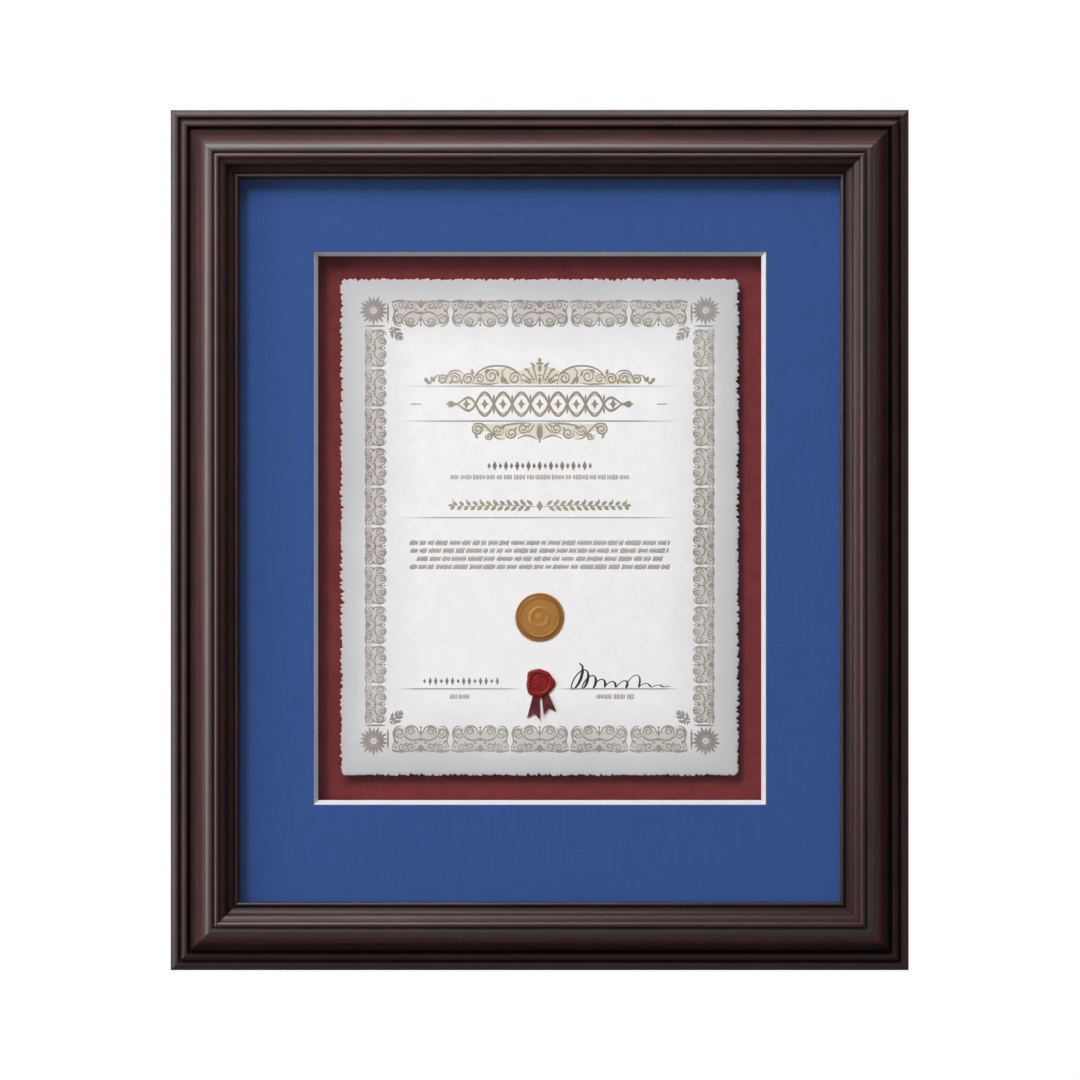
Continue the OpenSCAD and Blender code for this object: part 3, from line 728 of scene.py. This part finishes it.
def lozenge(x, z, halfLong, halfWide, turn=0.0):
    dx, dz = polar(halfLong, turn)
    return [(x - dx, z - dz, 0.03), (x, z, halfWide), (x + dx, z + dz, 0.03)]


def dash(x0, x1, z, halfWide):
    inset = min(0.3, (x1 - x0) * 0.3)
    return [(x0, z, halfWide * 0.5), (x0 + inset, z, halfWide), (x1 - inset, z, halfWide), (x1, z, halfWide * 0.5)]


def rule(x0, x1, z, halfWide, fade=0.25):
    return [(x0 + (x1 - x0) * t, z, max(0.012, halfWide * min(1.0, t / fade, (1 - t) / fade)))
            for t in (0, 0.06, 0.12, fade, 0.5, 1 - fade, 0.88, 0.94, 1)]


def mirrored(strokes):
    return strokes + [[(-x, z, w) for x, z, w in line] for line in strokes]


# One stroke over the middle, from its right half
def doubled(*half):
    return [(-x, z, w) for x, z, w in reversed(half[1:])] + list(half)


def moved(strokes, x, z, turn=0.0, scaleX=1.0, scaleZ=1.0, thin=1.0):
    c, s = polar(1, turn)
    return [[(x + c * px * scaleX - s * pz * scaleZ, z + s * px * scaleX + c * pz * scaleZ, w * thin)
             for px, pz, w in line] for line in strokes]


def printed(name, strokes, material, flatness=0.09, lift=0.004):
    pick()
    bpy.ops.curve.primitive_nurbs_path_add(location=(0, 0, 0))
    piece = bpy.context.object
    piece.name = name
    curve = piece.data
    curve.splines.clear()
    curve.dimensions = "3D"
    curve.twist_mode = "Z_UP"
    curve.bevel_depth = mm
    curve.bevel_resolution = 0
    curve.use_fill_caps = True
    for stroke in strokes:
        line = curve.splines.new("POLY")
        line.points.add(len(stroke) - 1)
        for point, (x, z, halfWidth) in zip(line.points, stroke):
            point.co = (x * mm, z * mm, 0, 1)
            point.radius = halfWidth
    pick(piece)
    bpy.ops.object.convert(target="MESH")
    piece = bpy.context.object
    editAll(piece)
    bpy.ops.transform.resize(value=(1, 1, flatness), center_override=(0, 0, 0))
    bpy.ops.mesh.normals_make_consistent(inside=False)
    leaveEdit()
    piece.rotation_euler = (math.pi / 2, 0, 0)
    piece.location = (0, -(place["paperDepth"] + lift) * mm, 0)
    finish(piece, "certificate_paper", material, angle=20)


# One repeat of the border, 30 wide and 13.6 high, its outer edge upwards
def borderRepeat():
    half = each(
        volute, (4.9, 3.9, 2.5, -160, -1.5, 0.36), (9.6, 4.4, 2.0, 200, 1.4, 0.32),
        (5.4, -4.0, 2.6, 60, -1.6, 0.36), (10.9, -3.2, 2.9, 160, -1.5, 0.36))
    half += each(
        smoothed,
        ((0.6, -0.4, 0.2), (2.6, 0.6, 0.4), (5.2, 0.4, 0.42), (7.8, -1.2, 0.38), (9.4, -3.6, 0.3), (8.6, -6.0, 0.16)),
        ((0.8, -2.6, 0.15), (2.0, -5.4, 0.34), (4.6, -6.7, 0.36), (7.2, -5.9, 0.3), (8.0, -4.2, 0.14)),
        ((7.2, 2.2, 0.14), (8.0, 6.0, 0.3), (11.0, 6.3, 0.44), (14.7, 5.6, 0.36)),
        ((14.6, 4.6, 0.12), (13.2, 1.0, 0.34), (14.0, -3.0, 0.34), (12.4, -6.0, 0.3), (9.8, -6.6, 0.14)), per=4)
    half += each(leaf, (11.6, 2.6, 2.6, -60, 0.55), (7.6, 1.4, 2.4, 100, 0.5), (3.1, 6.2, 2.8, -150, 0.5),
                 (7.4, 6.3, 1.8, -170, 0.45), (1.4, 1.4, 2.2, 25, 0.5), (12.4, -0.6, 1.8, -120, 0.45))
    half += each(lozenge, (12.7, 4.1, 0.9, 0.55), (4.9, 4.0, 0.7, 0.55, 45))
    middle = each(leaf, (0, 2.6, 4.2, 90, 1.55), (-2.5, 5.0, 5.0, 0, 0.85), (0, -0.8, 4.4, -90, 0.6))
    return mirrored(half) + middle + each(lozenge, (0, 0.1, 2.9, 0.85), (0, -5.9, 0.9, 0.6, 90))


def cornerRosette():
    strokes = []
    for index in range(18):
        near, far = 1.9, 7.6 if index % 2 else 6.8
        strokes.append(leaf(*polar(near, index * 20), far - near, index * 20, 0.84))
    for radius, halfWide in ((2.0, 0.34), (3.3, 0.3), (4.3, 0.3)):
        strokes.append([(*polar(radius, a), halfWide) for a in range(0, 361, 24)])
    return strokes + [leaf(*polar(0.2, a), 1.1, a, 0.2) for a in range(0, 360, 72)]


# A small leafy spray for the inner corners, that points along +X
def fleuron():
    half = each(leaf, (-3.0, 0.2, 4.2, 62, 1.0, -20), (-0.8, 0.2, 3.8, 48, 0.95, -20), (1.2, 0.1, 2.8, 34, 0.7, -20),
                (-1.6, 0.2, 3.0, 128, 0.7, 20), (-3.4, 0.1, 1.9, 150, 0.45))
    other = [[(x, -z, wide) for x, z, wide in stroke] for stroke in half]
    return half + other + [leaf(-3.6, 0, 8.2, 0, 0.62), lozenge(-3.9, 0, 0.9, 0.6)]


border = {
    "topZ": -85.0, "footZ": -301.0, "level": 30.15,    # level and upright are the lengths of one repeat
    "sideX": 83.3, "sideMiddleZ": -193.0, "upright": 20.06, "sideScale": (0.665, 0.79),
    "rosetteX": 84.2, "rosetteTopZ": -83.6, "rosetteFootZ": -301.9,
    "fleuronX": 72.3, "fleuronTopZ": -95.7, "fleuronFootZ": -289.6,
    "thick": 1.25,
}


def borderStrokes(repeat, thick):
    strokes = []
    for index in range(-2, 3):
        strokes += moved(repeat, index * border["level"], border["topZ"], thin=thick)
        strokes += moved(repeat, index * border["level"], border["footZ"], turn=180, thin=thick)
    for index in range(10):
        z = border["sideMiddleZ"] + (index - 4.5) * border["upright"]
        for side in (-1, 1):
            strokes += moved(repeat, side * border["sideX"], z, -90 * side, *border["sideScale"], 0.8 * thick)
    return strokes


# Broad soft shapes for a tint under one repeat of the border
def tintRepeat():
    return each(
        doubled,
        ((0, 4.4, 2.6), (4.6, 4.0, 2.5), (7.4, 4.2, 1.9), (10.5, 4.2, 2.4), (14.6, 4.2, 1.2)),
        ((0, -1.4, 2.6), (2.0, -1.6, 2.2), (5.2, -3.2, 3.2), (8.2, -2.0, 2.0), (10.8, -3.0, 3.2), (13.4, -2.4, 1.4)),
        ((0, 1.0, 1.6), (5.6, 0.7, 0.8), (9.0, 1.0, 1.5), (12.8, 0.8, 0.5)))


def cornerStrokes():
    strokes = []
    for sx in (-1, 1):
        for sz, rosetteZ, fleuronZ, bandZ in ((1, border["rosetteTopZ"], border["fleuronTopZ"], border["topZ"]),
                                              (-1, border["rosetteFootZ"], border["fleuronFootZ"], border["footZ"])):
            strokes += moved(cornerRosette(), sx * border["rosetteX"], rosetteZ, turn=9)
            turn = math.degrees(math.atan2(-sz, -sx))
            strokes += moved(fleuron(), sx * border["fleuronX"], fleuronZ, turn=turn, thin=0.85)
            strokes.append([(sx * 77.0, bandZ + dz, wide)
                            for dz, wide in ((5.2, 0.1), (3, 0.5), (-3, 0.5), (-5.2, 0.1))])
            strokes.append([(sx * x, rosetteZ - sz * 7.9, wide)
                            for x, wide in ((88.6, 0.1), (86.5, 0.45), (80.3, 0.45), (78.2, 0.1))])
    return strokes


# Crest of scrolls that stands on the upper rule; its foot is at z = 0
def crestStrokes():
    half = each(volute, (12.6, 3.6, 3.3, 200, -1.7, 0.42), (24.4, 4.7, 3.6, 150, -1.6, 0.42),
                (30.4, 3.4, 2.4, 20, 1.5, 0.34), (36.3, 3.3, 3.0, 170, -1.6, 0.4), (42.9, 3.6, 3.1, 10, 1.6, 0.4),
                (49.2, 3.0, 2.6, 170, -1.6, 0.38), (3.0, 4.2, 1.9, 30, 1.3, 0.34), (5.6, 2.4, 1.5, 30, 1.2, 0.3))
    half += each(
        smoothed,
        ((8.8, 0.5, 0.15), (10.2, 5.4, 0.4), (14.6, 8.6, 0.5), (20.2, 9.9, 0.42), (26.4, 9.3, 0.42),
         (31.2, 6.6, 0.36), (33.2, 3.2, 0.3), (34.6, 0.7, 0.12)),
        ((15.4, 0.6, 0.15), (18.0, 3.2, 0.5), (19.0, 6.6, 0.42), (17.4, 8.6, 0.2)),
        ((20.6, 1.4, 0.12), (24.6, 0.6, 0.34), (29.4, 0.7, 0.36), (33.6, 0.9, 0.2)),
        ((38.6, 5.8, 0.12), (41.2, 7.4, 0.34), (44.8, 7.2, 0.38), (46.9, 4.6, 0.32), (47.6, 1.0, 0.14)),
        ((50.6, 5.4, 0.12), (52.6, 4.6, 0.36), (53.8, 2.4, 0.34), (56.6, 1.5, 0.2)))
    half += each(
        leaf, (16.4, 0.6, 4.2, 48, 0.95, 20), (18.6, 0.8, 5.2, 70, 0.9, 20), (20.2, 4.2, 3.8, 40, 0.75, 30),
        (28.0, 6.4, 3.4, 120, 0.6, 30), (33.2, 5.6, 3.0, 30, 0.7, 40), (39.6, 0.6, 3.0, 70, 0.7, 30),
        (45.8, 0.6, 2.8, 110, 0.65, 30), (53.0, 2.0, 3.4, 28, 0.95, 20), (56.2, 1.8, 3.0, 18, 0.95, 30),
        (54.8, 1.2, 2.6, -8, 0.6, 10), (1.3, 1.0, 11.6, 82, 0.55, -8), (2.3, 0.8, 9.9, 68, 0.6, -10),
        (3.4, 0.7, 8.0, 54, 0.6, -12), (4.6, 0.6, 6.0, 40, 0.6, -14), (2.2, 9.2, 3.6, 58, 0.6, -20),
        (4.9, 6.9, 3.6, 46, 0.6, -22), (7.0, 4.6, 3.0, 36, 0.6, -22))
    middle = each(leaf, (-2.1, 11.2, 4.2, 0, 0.75), (0, 6.4, 4.4, 90, 1.0), (0, 0.5, 4.4, 90, 0.85))
    return mirrored(half) + middle + each(lozenge, (0, 12.9, 1.3, 1.0, 90), (0, 5.2, 2.3, 0.7))


# Pendant of scrolls that hangs from the lower rule
def pendantStrokes():
    half = each(volute, (8.4, -3.4, 2.8, 160, 1.6, 0.42), (14.4, -5.8, 3.1, 40, -1.6, 0.42),
                (21.2, -4.2, 3.0, 170, 1.6, 0.4), (31.4, -3.9, 3.1, 100, -1.7, 0.42),
                (25.6, -7.4, 2.0, 20, -1.4, 0.34))
    half += each(
        smoothed,
        ((4.4, -0.7, 0.12), (9.6, -0.8, 0.4), (15.4, -1.4, 0.46), (20.0, -2.8, 0.34), (24.4, -6.8, 0.3),
         (27.8, -8.9, 0.12)),
        ((17.6, -8.6, 0.12), (21.6, -8.4, 0.36), (25.4, -4.4, 0.46), (29.2, -1.2, 0.42), (33.6, -1.0, 0.16)),
        ((1.0, -9.2, 0.12), (4.0, -7.6, 0.4), (7.4, -7.0, 0.4), (11.2, -8.6, 0.2)))
    half += each(leaf, (0.9, -1.0, 8.2, -82, 0.6, -10), (2.4, -0.9, 6.6, -62, 0.6, 10),
                 (4.0, -0.8, 4.8, -46, 0.6, 14), (17.6, -1.6, 3.6, -70, 0.7, 30), (28.4, -2.0, 3.2, -40, 0.65, -30),
                 (11.4, -2.6, 3.2, -30, 0.6, -40), (33.0, -6.6, 2.6, -150, 0.6, 30))
    middle = [leaf(0, -0.6, 9.6, -90, 1.0), lozenge(0, -5.0, 2.1, 0.7), lozenge(0, -10.0, 0.9, 0.6, 90)]
    return mirrored(half) + middle


# Interlaced bands that fill the place of a title
def interlaceStrokes(halfLong, halfHigh, pitch):
    strokes = []
    count = 96
    for flip in (1, -1):
        for width, lift in ((0.52, 0.0), (0.2, 1.25)):
            line = []
            for index in range(count + 1):
                x = -halfLong + 2 * halfLong * index / count
                fade = min(1.0, (1 - abs(x) / halfLong) * 3 + 0.12)
                reach = flip * (halfHigh - 0.6 - lift) * (0.72 + 0.28 * fade)
                z = reach * math.sin(math.pi * (x / pitch + 0.5)) * fade
                line.append((x, z, width * (0.55 + 0.45 * fade)))
            strokes.append(line)
    eyes = int(halfLong / pitch)
    for index in range(-eyes, eyes + 1):
        x = index * pitch
        strokes += each(lozenge, (x, 0, 2.6, 1.15, 90), (x, 0, 2.2, 0.8))
        if abs(index) < eyes:
            strokes += each(leaf, (x + pitch / 2, 1.4, 3.6, 90, 0.5), (x + pitch / 2, -1.4, 3.6, -90, 0.5))
    end = each(leaf, (0, 0, 4.6, 0, 0.9), (0, 0, 3.8, 40, 0.6, -20), (0, 0, 3.8, -40, 0.6, 20))
    return strokes + moved(end, halfLong - 1.5, 0) + moved(end, 1.5 - halfLong, 0, turn=180)


# A branch of leaves on both sides of a knot
def garlandStrokes(halfLong):
    half = [[(2.0, -0.4, 0.16), (halfLong * 0.4, 0.5, 0.2), (halfLong * 0.75, -0.3, 0.16), (halfLong, 0.2, 0.05)]]
    x = 3.4
    index = 0
    while x < halfLong - 3:
        size = 4.3 - 1.4 * x / halfLong
        half += each(leaf, (x, 0.3, size, 38, 0.82), (x + 1.1, -0.1, size, -38, 0.82))
        if index % 2:
            half.append(lozenge(x + 2.1, 2.9, 0.55, 0.5, 45))
        x += 3.5
        index += 1
    half.append(leaf(halfLong - 2.6, 0.1, 3.2, 4, 0.7))
    return mirrored(half) + each(lozenge, (0, 0, 2.7, 1.5, 90), (0, 0, 1.9, 0.9))


# Rows of plain hatching in place of small print; it comes in groups and stands for no letters
def tickRow(seed, x0, x1, z, high, pitch, slant, halfWide):
    draw = random.Random(seed)
    strokes = []
    x = x0
    while x < x1 - pitch:
        end = min(x + draw.uniform(2.2, 8.0), x1)
        while x < end:
            tall = high * draw.uniform(0.8, 1.25)
            dx, dz = slant * tall / 2, tall / 2
            strokes.append([(x - dx, z - dz, halfWide), (x + dx, z + dz, halfWide * 0.8)])
            x += pitch
        x = end + 1.1
    return strokes


# A row of lozenges on short bars; every so many of them is of the second size
def lozengeRow(count, x0, pitch, z, every, first, second, bar):
    strokes = []
    for index in range(count):
        x = x0 + index * pitch
        strokes.append(lozenge(x, z, *(second if index % every == 0 else first), 90))
        strokes.append([(x - bar[0], z, bar[1]), (x + bar[0], z, bar[1])])
    return strokes


words = {
    # the body text: its ends, its height, pitch, slant and half width, and for each row z and how much shorter it is
    "bodyEnds": (-65.6, 65.8),
    "bodyTicks": (2.15, 0.62, 0.3, 0.23),
    "bodyRows": ((-201.4, 0.0), (-205.4, 0.4), (-209.5, 3.6), (-213.6, 0.0)),
    # rows of small print: seed, ends, z, height, pitch, slant, half width
    "smallRows": ((7, -45.0, 45.2, -168.1, 2.2, 0.72, 0.0, 0.22), (21, -45.2, -35.4, -279.4, 2.2, 0.72, 0.0, 0.23),
                  (22, 29.0, 49.2, -279.4, 2.2, 0.72, 0.0, 0.23)),
    # rows of lozenges: how many, first x, pitch, z, every which one is of the second size, both sizes, bar
    "lozengeRows": ((19, -25.65, 2.85, -162.4, 2, (2.5, 1.15), (1.6, 0.85), (0.9, 0.16)),
                    (14, -58.4, 2.84, -271.6, 3, (2.1, 0.9), (1.2, 0.75), (0.8, 0.2))),
    # rules and dashes: ends, z, half width, and the share of a rule that fades out
    "rules": ((-71, 70.4, -122.0, 0.36, 0.24), (-71, 70.4, -139.7, 0.4, 0.16), (-71, 69.5, -188.7, 0.32, 0.13),
              (-71, -9.6, -275.5, 0.38, 0.13), (9.0, 70.4, -275.5, 0.38, 0.13)),
    "dashes": ((-65.4, -60.2, -131.1, 0.34), (59.4, 64.6, -131.1, 0.34)),
}


def wordStrokes():
    first, last = words["bodyEnds"]
    strokes = []
    for z, shorter in words["bodyRows"]:
        strokes += tickRow(int(-z * 10), first + shorter, last - shorter, z, *words["bodyTicks"])
    return strokes


def captionStrokes():
    under, date, office = each(tickRow, *words["smallRows"])
    upper, lower = each(lozengeRow, *words["lozengeRows"])
    return under + upper + lower + date + office


# Place and length of the pen line, and how many radians its loops turn through
pen = {"startX": 17.4, "long": 48.6, "z": -274.4, "loops": 56, "points": 190}


# A pen flourish that spells nothing: slanting loops that die away into a long tail
def flourishStrokes():
    line = []
    for index in range(pen["points"]):
        t = index / (pen["points"] - 1)
        beat = pen["loops"] * t ** 0.85
        reach = (5.6 * math.exp(-5 * t) + 3.4 * math.exp(-((t - 0.62) / 0.09) ** 2) + 0.9) * (1 - t) ** 0.35
        x = pen["startX"] + pen["long"] * t + reach * (0.5 * math.sin(beat) + 0.42 * math.cos(beat))
        z = pen["z"] + reach * (0.8 + 1.05 * math.cos(beat))
        line.append((x, z, (0.34 + 0.42 * max(0.0, math.sin(beat)) ** 2) * (1 - 0.5 * t)))
    return [line]


title = {
    "crestZ": -121.6, "pendantZ": -140.0, "garlandZ": -182.7, "garlandHalf": 46.0, "thick": 1.15,
    "bandZ": -131.1, "bandHalfLong": 44.5, "bandHalfHigh": 6.6, "bandPitch": 9.3,
    "crestTint": ((0, 6.0, 5.4), (6, 4.6, 4.0), (11, 3.8, 3.2), (18, 4.8, 4.0), (26, 4.4, 3.6), (34, 2.6, 2.2),
                  (42, 3.4, 2.8), (51, 2.4, 1.4)),
    "pendantTint": ((0, -4.6, 4.0), (8, -3.2, 2.6), (15, -4.8, 3.6), (21, -4.2, 3.4), (27, -3.0, 1.8),
                    (33, -3.4, 2.6)),
}
inkTones = {
    # tint where it lies full and where it lies thin, roughness, metallic
    "borderInk": ((0.245, 0.215, 0.19), (0.37, 0.34, 0.305)),
    "borderTint": ((0.52, 0.49, 0.46), (0.58, 0.55, 0.52)),
    "titleInk": ((0.27, 0.225, 0.16), (0.38, 0.33, 0.25), 0.5, 0.1),
    "titleTint": ((0.66, 0.61, 0.53), (0.72, 0.675, 0.605)),
    "ruleInk": ((0.30, 0.285, 0.265), (0.42, 0.40, 0.38)),
    "wordInk": ((0.16, 0.125, 0.10), (0.265, 0.22, 0.18)),
    "penInk": ((0.012, 0.012, 0.014), (0.04, 0.04, 0.045), 0.45),
}
inks = {name: makeInk(name, *tones) for name, tones in inkTones.items()}
tints = moved([doubled(*title["crestTint"])], 0, title["crestZ"])
tints += moved([doubled(*title["pendantTint"])], 0, title["pendantZ"])
scrolls = moved(crestStrokes(), 0, title["crestZ"], thin=title["thick"])
scrolls += moved(pendantStrokes(), 0, title["pendantZ"], thin=title["thick"])
bands = moved(interlaceStrokes(title["bandHalfLong"], title["bandHalfHigh"], title["bandPitch"]), 0, title["bandZ"],
              thin=title["thick"])
bands += moved(garlandStrokes(title["garlandHalf"]), 0, title["garlandZ"], thin=title["thick"])
printed("borderTintPrint", borderStrokes(tintRepeat(), 1.0), inks["borderTint"], 0.008, 0.002)
printed("titleTintPrint", tints, inks["titleTint"], 0.006, 0.002)
printed("borderPrint", borderStrokes(borderRepeat(), border["thick"]), inks["borderInk"])
printed("cornerPrint", cornerStrokes(), inks["borderInk"])
printed("crestPrint", scrolls, inks["titleInk"])
printed("titlePrint", bands, inks["titleInk"])
printed("rulePrint", each(rule, *words["rules"]) + each(dash, *words["dashes"]), inks["ruleInk"])
printed("wordPrint", wordStrokes(), inks["wordInk"])
printed("captionPrint", captionStrokes(), inks["wordInk"])
printed("penFlourish", flourishStrokes(), inks["penInk"])

print("stage: seals")


# A flat disc that faces the viewer, ready in edit mode with its face selected
def startDisc(name, count, radius, z):
    pick()
    bpy.ops.mesh.primitive_circle_add(vertices=count, radius=radius * mm, fill_type="NGON",
                                      location=(0, -place["paperDepth"] * mm, z * mm), rotation=(math.pi / 2, 0, 0))
    piece = bpy.context.object
    piece.name = name
    applyPlace(piece)
    editAll(piece)
    return piece


# Turns the selected face into rings: each gives every point its radius and its height over the sheet by its angle
def shapeRings(piece, z, rings):
    for index, ring in enumerate(rings):
        if index == 1:
            bpy.ops.mesh.extrude_region_move()
        elif index:
            bpy.ops.mesh.inset(thickness=0.00002)
        mesh = bmesh.from_edit_mesh(piece.data)
        for vert in (v for v in mesh.verts if v.select):
            angle = math.atan2(vert.co.z - z * mm, vert.co.x)
            radius, rise = ring(angle)
            vert.co = (radius * math.cos(angle) * mm, -(place["paperDepth"] + rise) * mm,
                       (z + radius * math.sin(angle)) * mm)
        bmesh.update_edit_mesh(piece.data)
    leaveEdit()


def makeFoilSeal():
    count = 2 * seals["foilPoints"]

    def ring(at, rise, tooth=0.0, pleat=0.0):
        def shape(angle):
            odd = round(angle / (2 * math.pi / count)) % 2
            return at * seals["foilRadius"] - tooth * odd, rise + pleat * (1 - odd)
        return shape
    piece = startDisc("foilSeal", count, seals["foilRadius"], seals["foilZ"])
    shapeRings(piece, seals["foilZ"], each(
        ring, (1.0, 0.0, 0.9), (1.0, 0.12, 0.9), (0.985, 0.22, 0.85), (0.92, 0.2, 0.0, 0.1), (0.85, 0.17, 0.0, 0.1),
        (0.82, 0.24), (0.8, 0.36), (0.77, 0.37), (0.735, 0.37), (0.715, 0.25), (0.69, 0.22, 0.0, 0.1),
        (0.48, 0.2, 0.0, 0.12), (0.4, 0.24), (0.385, 0.35), (0.36, 0.37), (0.335, 0.35), (0.31, 0.25),
        (0.2, 0.22, 0.0, 0.1), (0.12, 0.26), (0.1, 0.35), (0.06, 0.37)))
    outwards(piece)
    finish(piece, "gold_foil", makeFoil(), "foil_seal", angle=40)


def makeWaxSeal():
    def lobes(angle):
        ripple = 0.03 * math.sin(5 * angle + 2.2) + 0.025 * math.sin(8 * angle + 1.2)
        return 1 + 0.07 * math.cos(3 * angle - 0.1) + ripple

    def ring(at, rise, calm=1.0, petals=0.0):
        def shape(angle):
            wander = 1 + (lobes(angle) - 1) * calm
            lift = 0.1 * math.sin(4 * angle + 1) * calm * min(1.0, rise)
            return at * seals["waxRadius"] * wander, rise + lift + petals * math.cos(8 * angle)
        return shape
    piece = startDisc("waxSeal", 80, seals["waxRadius"], seals["waxZ"])
    shapeRings(piece, seals["waxZ"], each(
        ring, (0.98, 0.0), (1.04, 0.3), (1.03, 0.62), (0.97, 0.95), (0.9, 1.2, 0.8), (0.82, 1.34, 0.5),
        (0.74, 1.3, 0.3), (0.69, 1.08, 0.2), (0.665, 0.82, 0.1), (0.63, 0.74, 0.0), (0.58, 0.76, 0.0),
        (0.55, 0.92, 0.0), (0.51, 0.92, 0.0), (0.47, 0.76, 0.0, 0.03), (0.38, 0.86, 0.0, 0.13),
        (0.24, 0.88, 0.0, 0.12), (0.16, 0.78, 0.0, 0.02), (0.12, 0.96, 0.0), (0.05, 1.02, 0.0)))
    applyModifier(piece, "softWax", "SUBSURF", levels=1, render_levels=1)
    outwards(piece)
    finish(piece, "sealing_wax", makeWax(), "wax_seal", angle=60)


def makeRibbonTail(index, material):
    lean, length = seals["ribbonLeans"][index], seals["ribbonLengths"][index]
    half, notch, start = seals["ribbonHalf"], seals["ribbonNotch"], seals["ribbonStarts"][index]
    pick()
    bpy.ops.mesh.primitive_grid_add(x_subdivisions=16, y_subdivisions=36, size=mm, location=(0, 0, 0),
                                    rotation=(math.pi / 2, 0, 0))
    piece = bpy.context.object
    piece.name = "ribbonTail" + ("Left", "Right")[index]
    applyPlace(piece)
    c, s = polar(1, lean)
    for vert in piece.data.vertices:
        share = vert.co.x / mm * 2
        down = 0.5 - vert.co.z / mm
        x = share * half * (0.3 + 0.7 * down)
        z = -down * (length - notch * (1 - abs(share)) * max(0.0, 2 * down - 1))
        lift = 0.17 + 0.28 * down * (1 + math.sin(7 * down + 2.2 * index + x * 0.35)) + 0.1 * share ** 2 * down
        vert.co = ((start + c * x - s * z) * mm, -(place["paperDepth"] + lift) * mm,
                   (seals["waxZ"] + s * x + c * z) * mm)
    applyModifier(piece, "ribbonThickness", "SOLIDIFY", thickness=0.16 * mm, offset=1.0)
    easeEdges(piece, 0.04, sharp=50)
    outwards(piece)
    finish(piece, "red_ribbon", material, "seal_ribbon", angle=50)


makeFoilSeal()
makeWaxSeal()
ribbonSatin = makeRibbon()
for index in (0, 1):
    makeRibbonTail(index, ribbonSatin)

print("stage: camera and light")
studio = {
    "cameraAway": 3.04,      # metres from the face of the frame
    "lens": 198.9,           # the picture is 0.548 m wide at the frame
    "aimX": 0.00015,
    "ambient": 0.24,
    # each lamp: the way to it, metres away, watts, metres across
    "lamps": {
        "keyLamp": ((-0.75, -0.85, 1.0), 4.0, 133.0, 1.0),
        "topLamp": ((-0.1, -0.45, 0.88), 3.6, 53.0, 0.9),
        "leftLamp": ((-0.93, -0.36, 0.1), 3.6, 58.0, 0.9),
        "backLamp": ((-0.4, 1.0, 0.8), 3.6, 105.0, 1.6),
    },
    "floorZ": -0.75,
    "floorTones": (0.16, 0.2),   # as it lights the frame
    "floorSeen": (0.9, 0.94),    # as the camera sees it
    "floorFade": (0.45, 1.3),    # metres from the middle at which the floor starts and ends turning white
}

camera = bpy.data.cameras.new("frontCamera")
camera.sensor_width = 36.0
camera.lens = studio["lens"]
camera.clip_start, camera.clip_end = 0.05, 50.0
cameraPiece = bpy.data.objects.new("frontCamera", camera)
cameraPiece.location = (studio["aimX"], -studio["cameraAway"], place["middleZ"] * mm)
cameraPiece.rotation_euler = (math.pi / 2, 0, 0)
bpy.context.scene.collection.objects.link(cameraPiece)
bpy.context.scene.camera = cameraPiece

for name, (direction, away, power, size) in studio["lamps"].items():
    lamp = bpy.data.lights.new(name, "AREA")
    lamp.shape = "SQUARE"
    lamp.size = size
    lamp.energy = power
    holder = bpy.data.objects.new(name, lamp)
    way = Vector(direction).normalized()
    holder.location = Vector((0, 0, place["middleZ"] * mm)) + way * away
    holder.rotation_euler = way.to_track_quat("Z", "Y").to_euler()
    bpy.context.scene.collection.objects.link(holder)

world = bpy.data.worlds.new("paleStudio")
bpy.context.scene.world = world
world.use_nodes = True
world.node_tree.nodes.clear()
bench["tree"] = world.node_tree
path = node("LightPath").outputs
way = node("SeparateXYZ", (node("TexCoord").outputs["Generated"],)).outputs
backdrop = between(way["Y"], 0.0, 0.4)       # it stands behind the frame, so only there do metal and glass show it
passed = maths("MAXIMUM", path["Is Glossy Ray"], path["Is Transmission Ray"])
seen = maths("MAXIMUM", path["Is Camera Ray"], times(passed, backdrop))
straight = maths("LESS_THAN", path["Diffuse Depth"], 0.5)
soft, white = (node("Background", {"Color": (1, 1, 1, 1), "Strength": strength}).outputs[0]
               for strength in (studio["ambient"], 1.0))
give(node("MixShader", (times(seen, straight), soft, white)).outputs[0], node("OutputWorld").inputs["Surface"])

pick()
bpy.ops.mesh.primitive_plane_add(size=6.0, location=(0, 0, studio["floorZ"]))
floor = bpy.context.object
floor.name = "paleFloor"
cloud = noiseOf(newFinish("paleFloor"), 0.004)
shown = node("LightPath").outputs["Is Camera Ray"]
tones = [ramp(cloud, *enumerate(studio[key])) for key in ("floorTones", "floorSeen")]
settle(None, blend(shown, *tones), 0.9, 0.1)
# Far out the floor turns into the white behind it
away = node("VectorMath", (node("TexCoord").outputs["Object"],), operation="LENGTH").outputs["Value"]
plain = node("Emission", {"Color": (1, 1, 1, 1), "Strength": 1.0}).outputs[0]
fading = times(shown, between(away, *studio["floorFade"]))
give(node("MixShader", (fading, bench["shader"].outputs[0], plain)).outputs[0], bench["output"].inputs["Surface"])
floor.data.materials.append(bench["material"])

bpy.context.scene.view_settings.view_transform = "Standard"
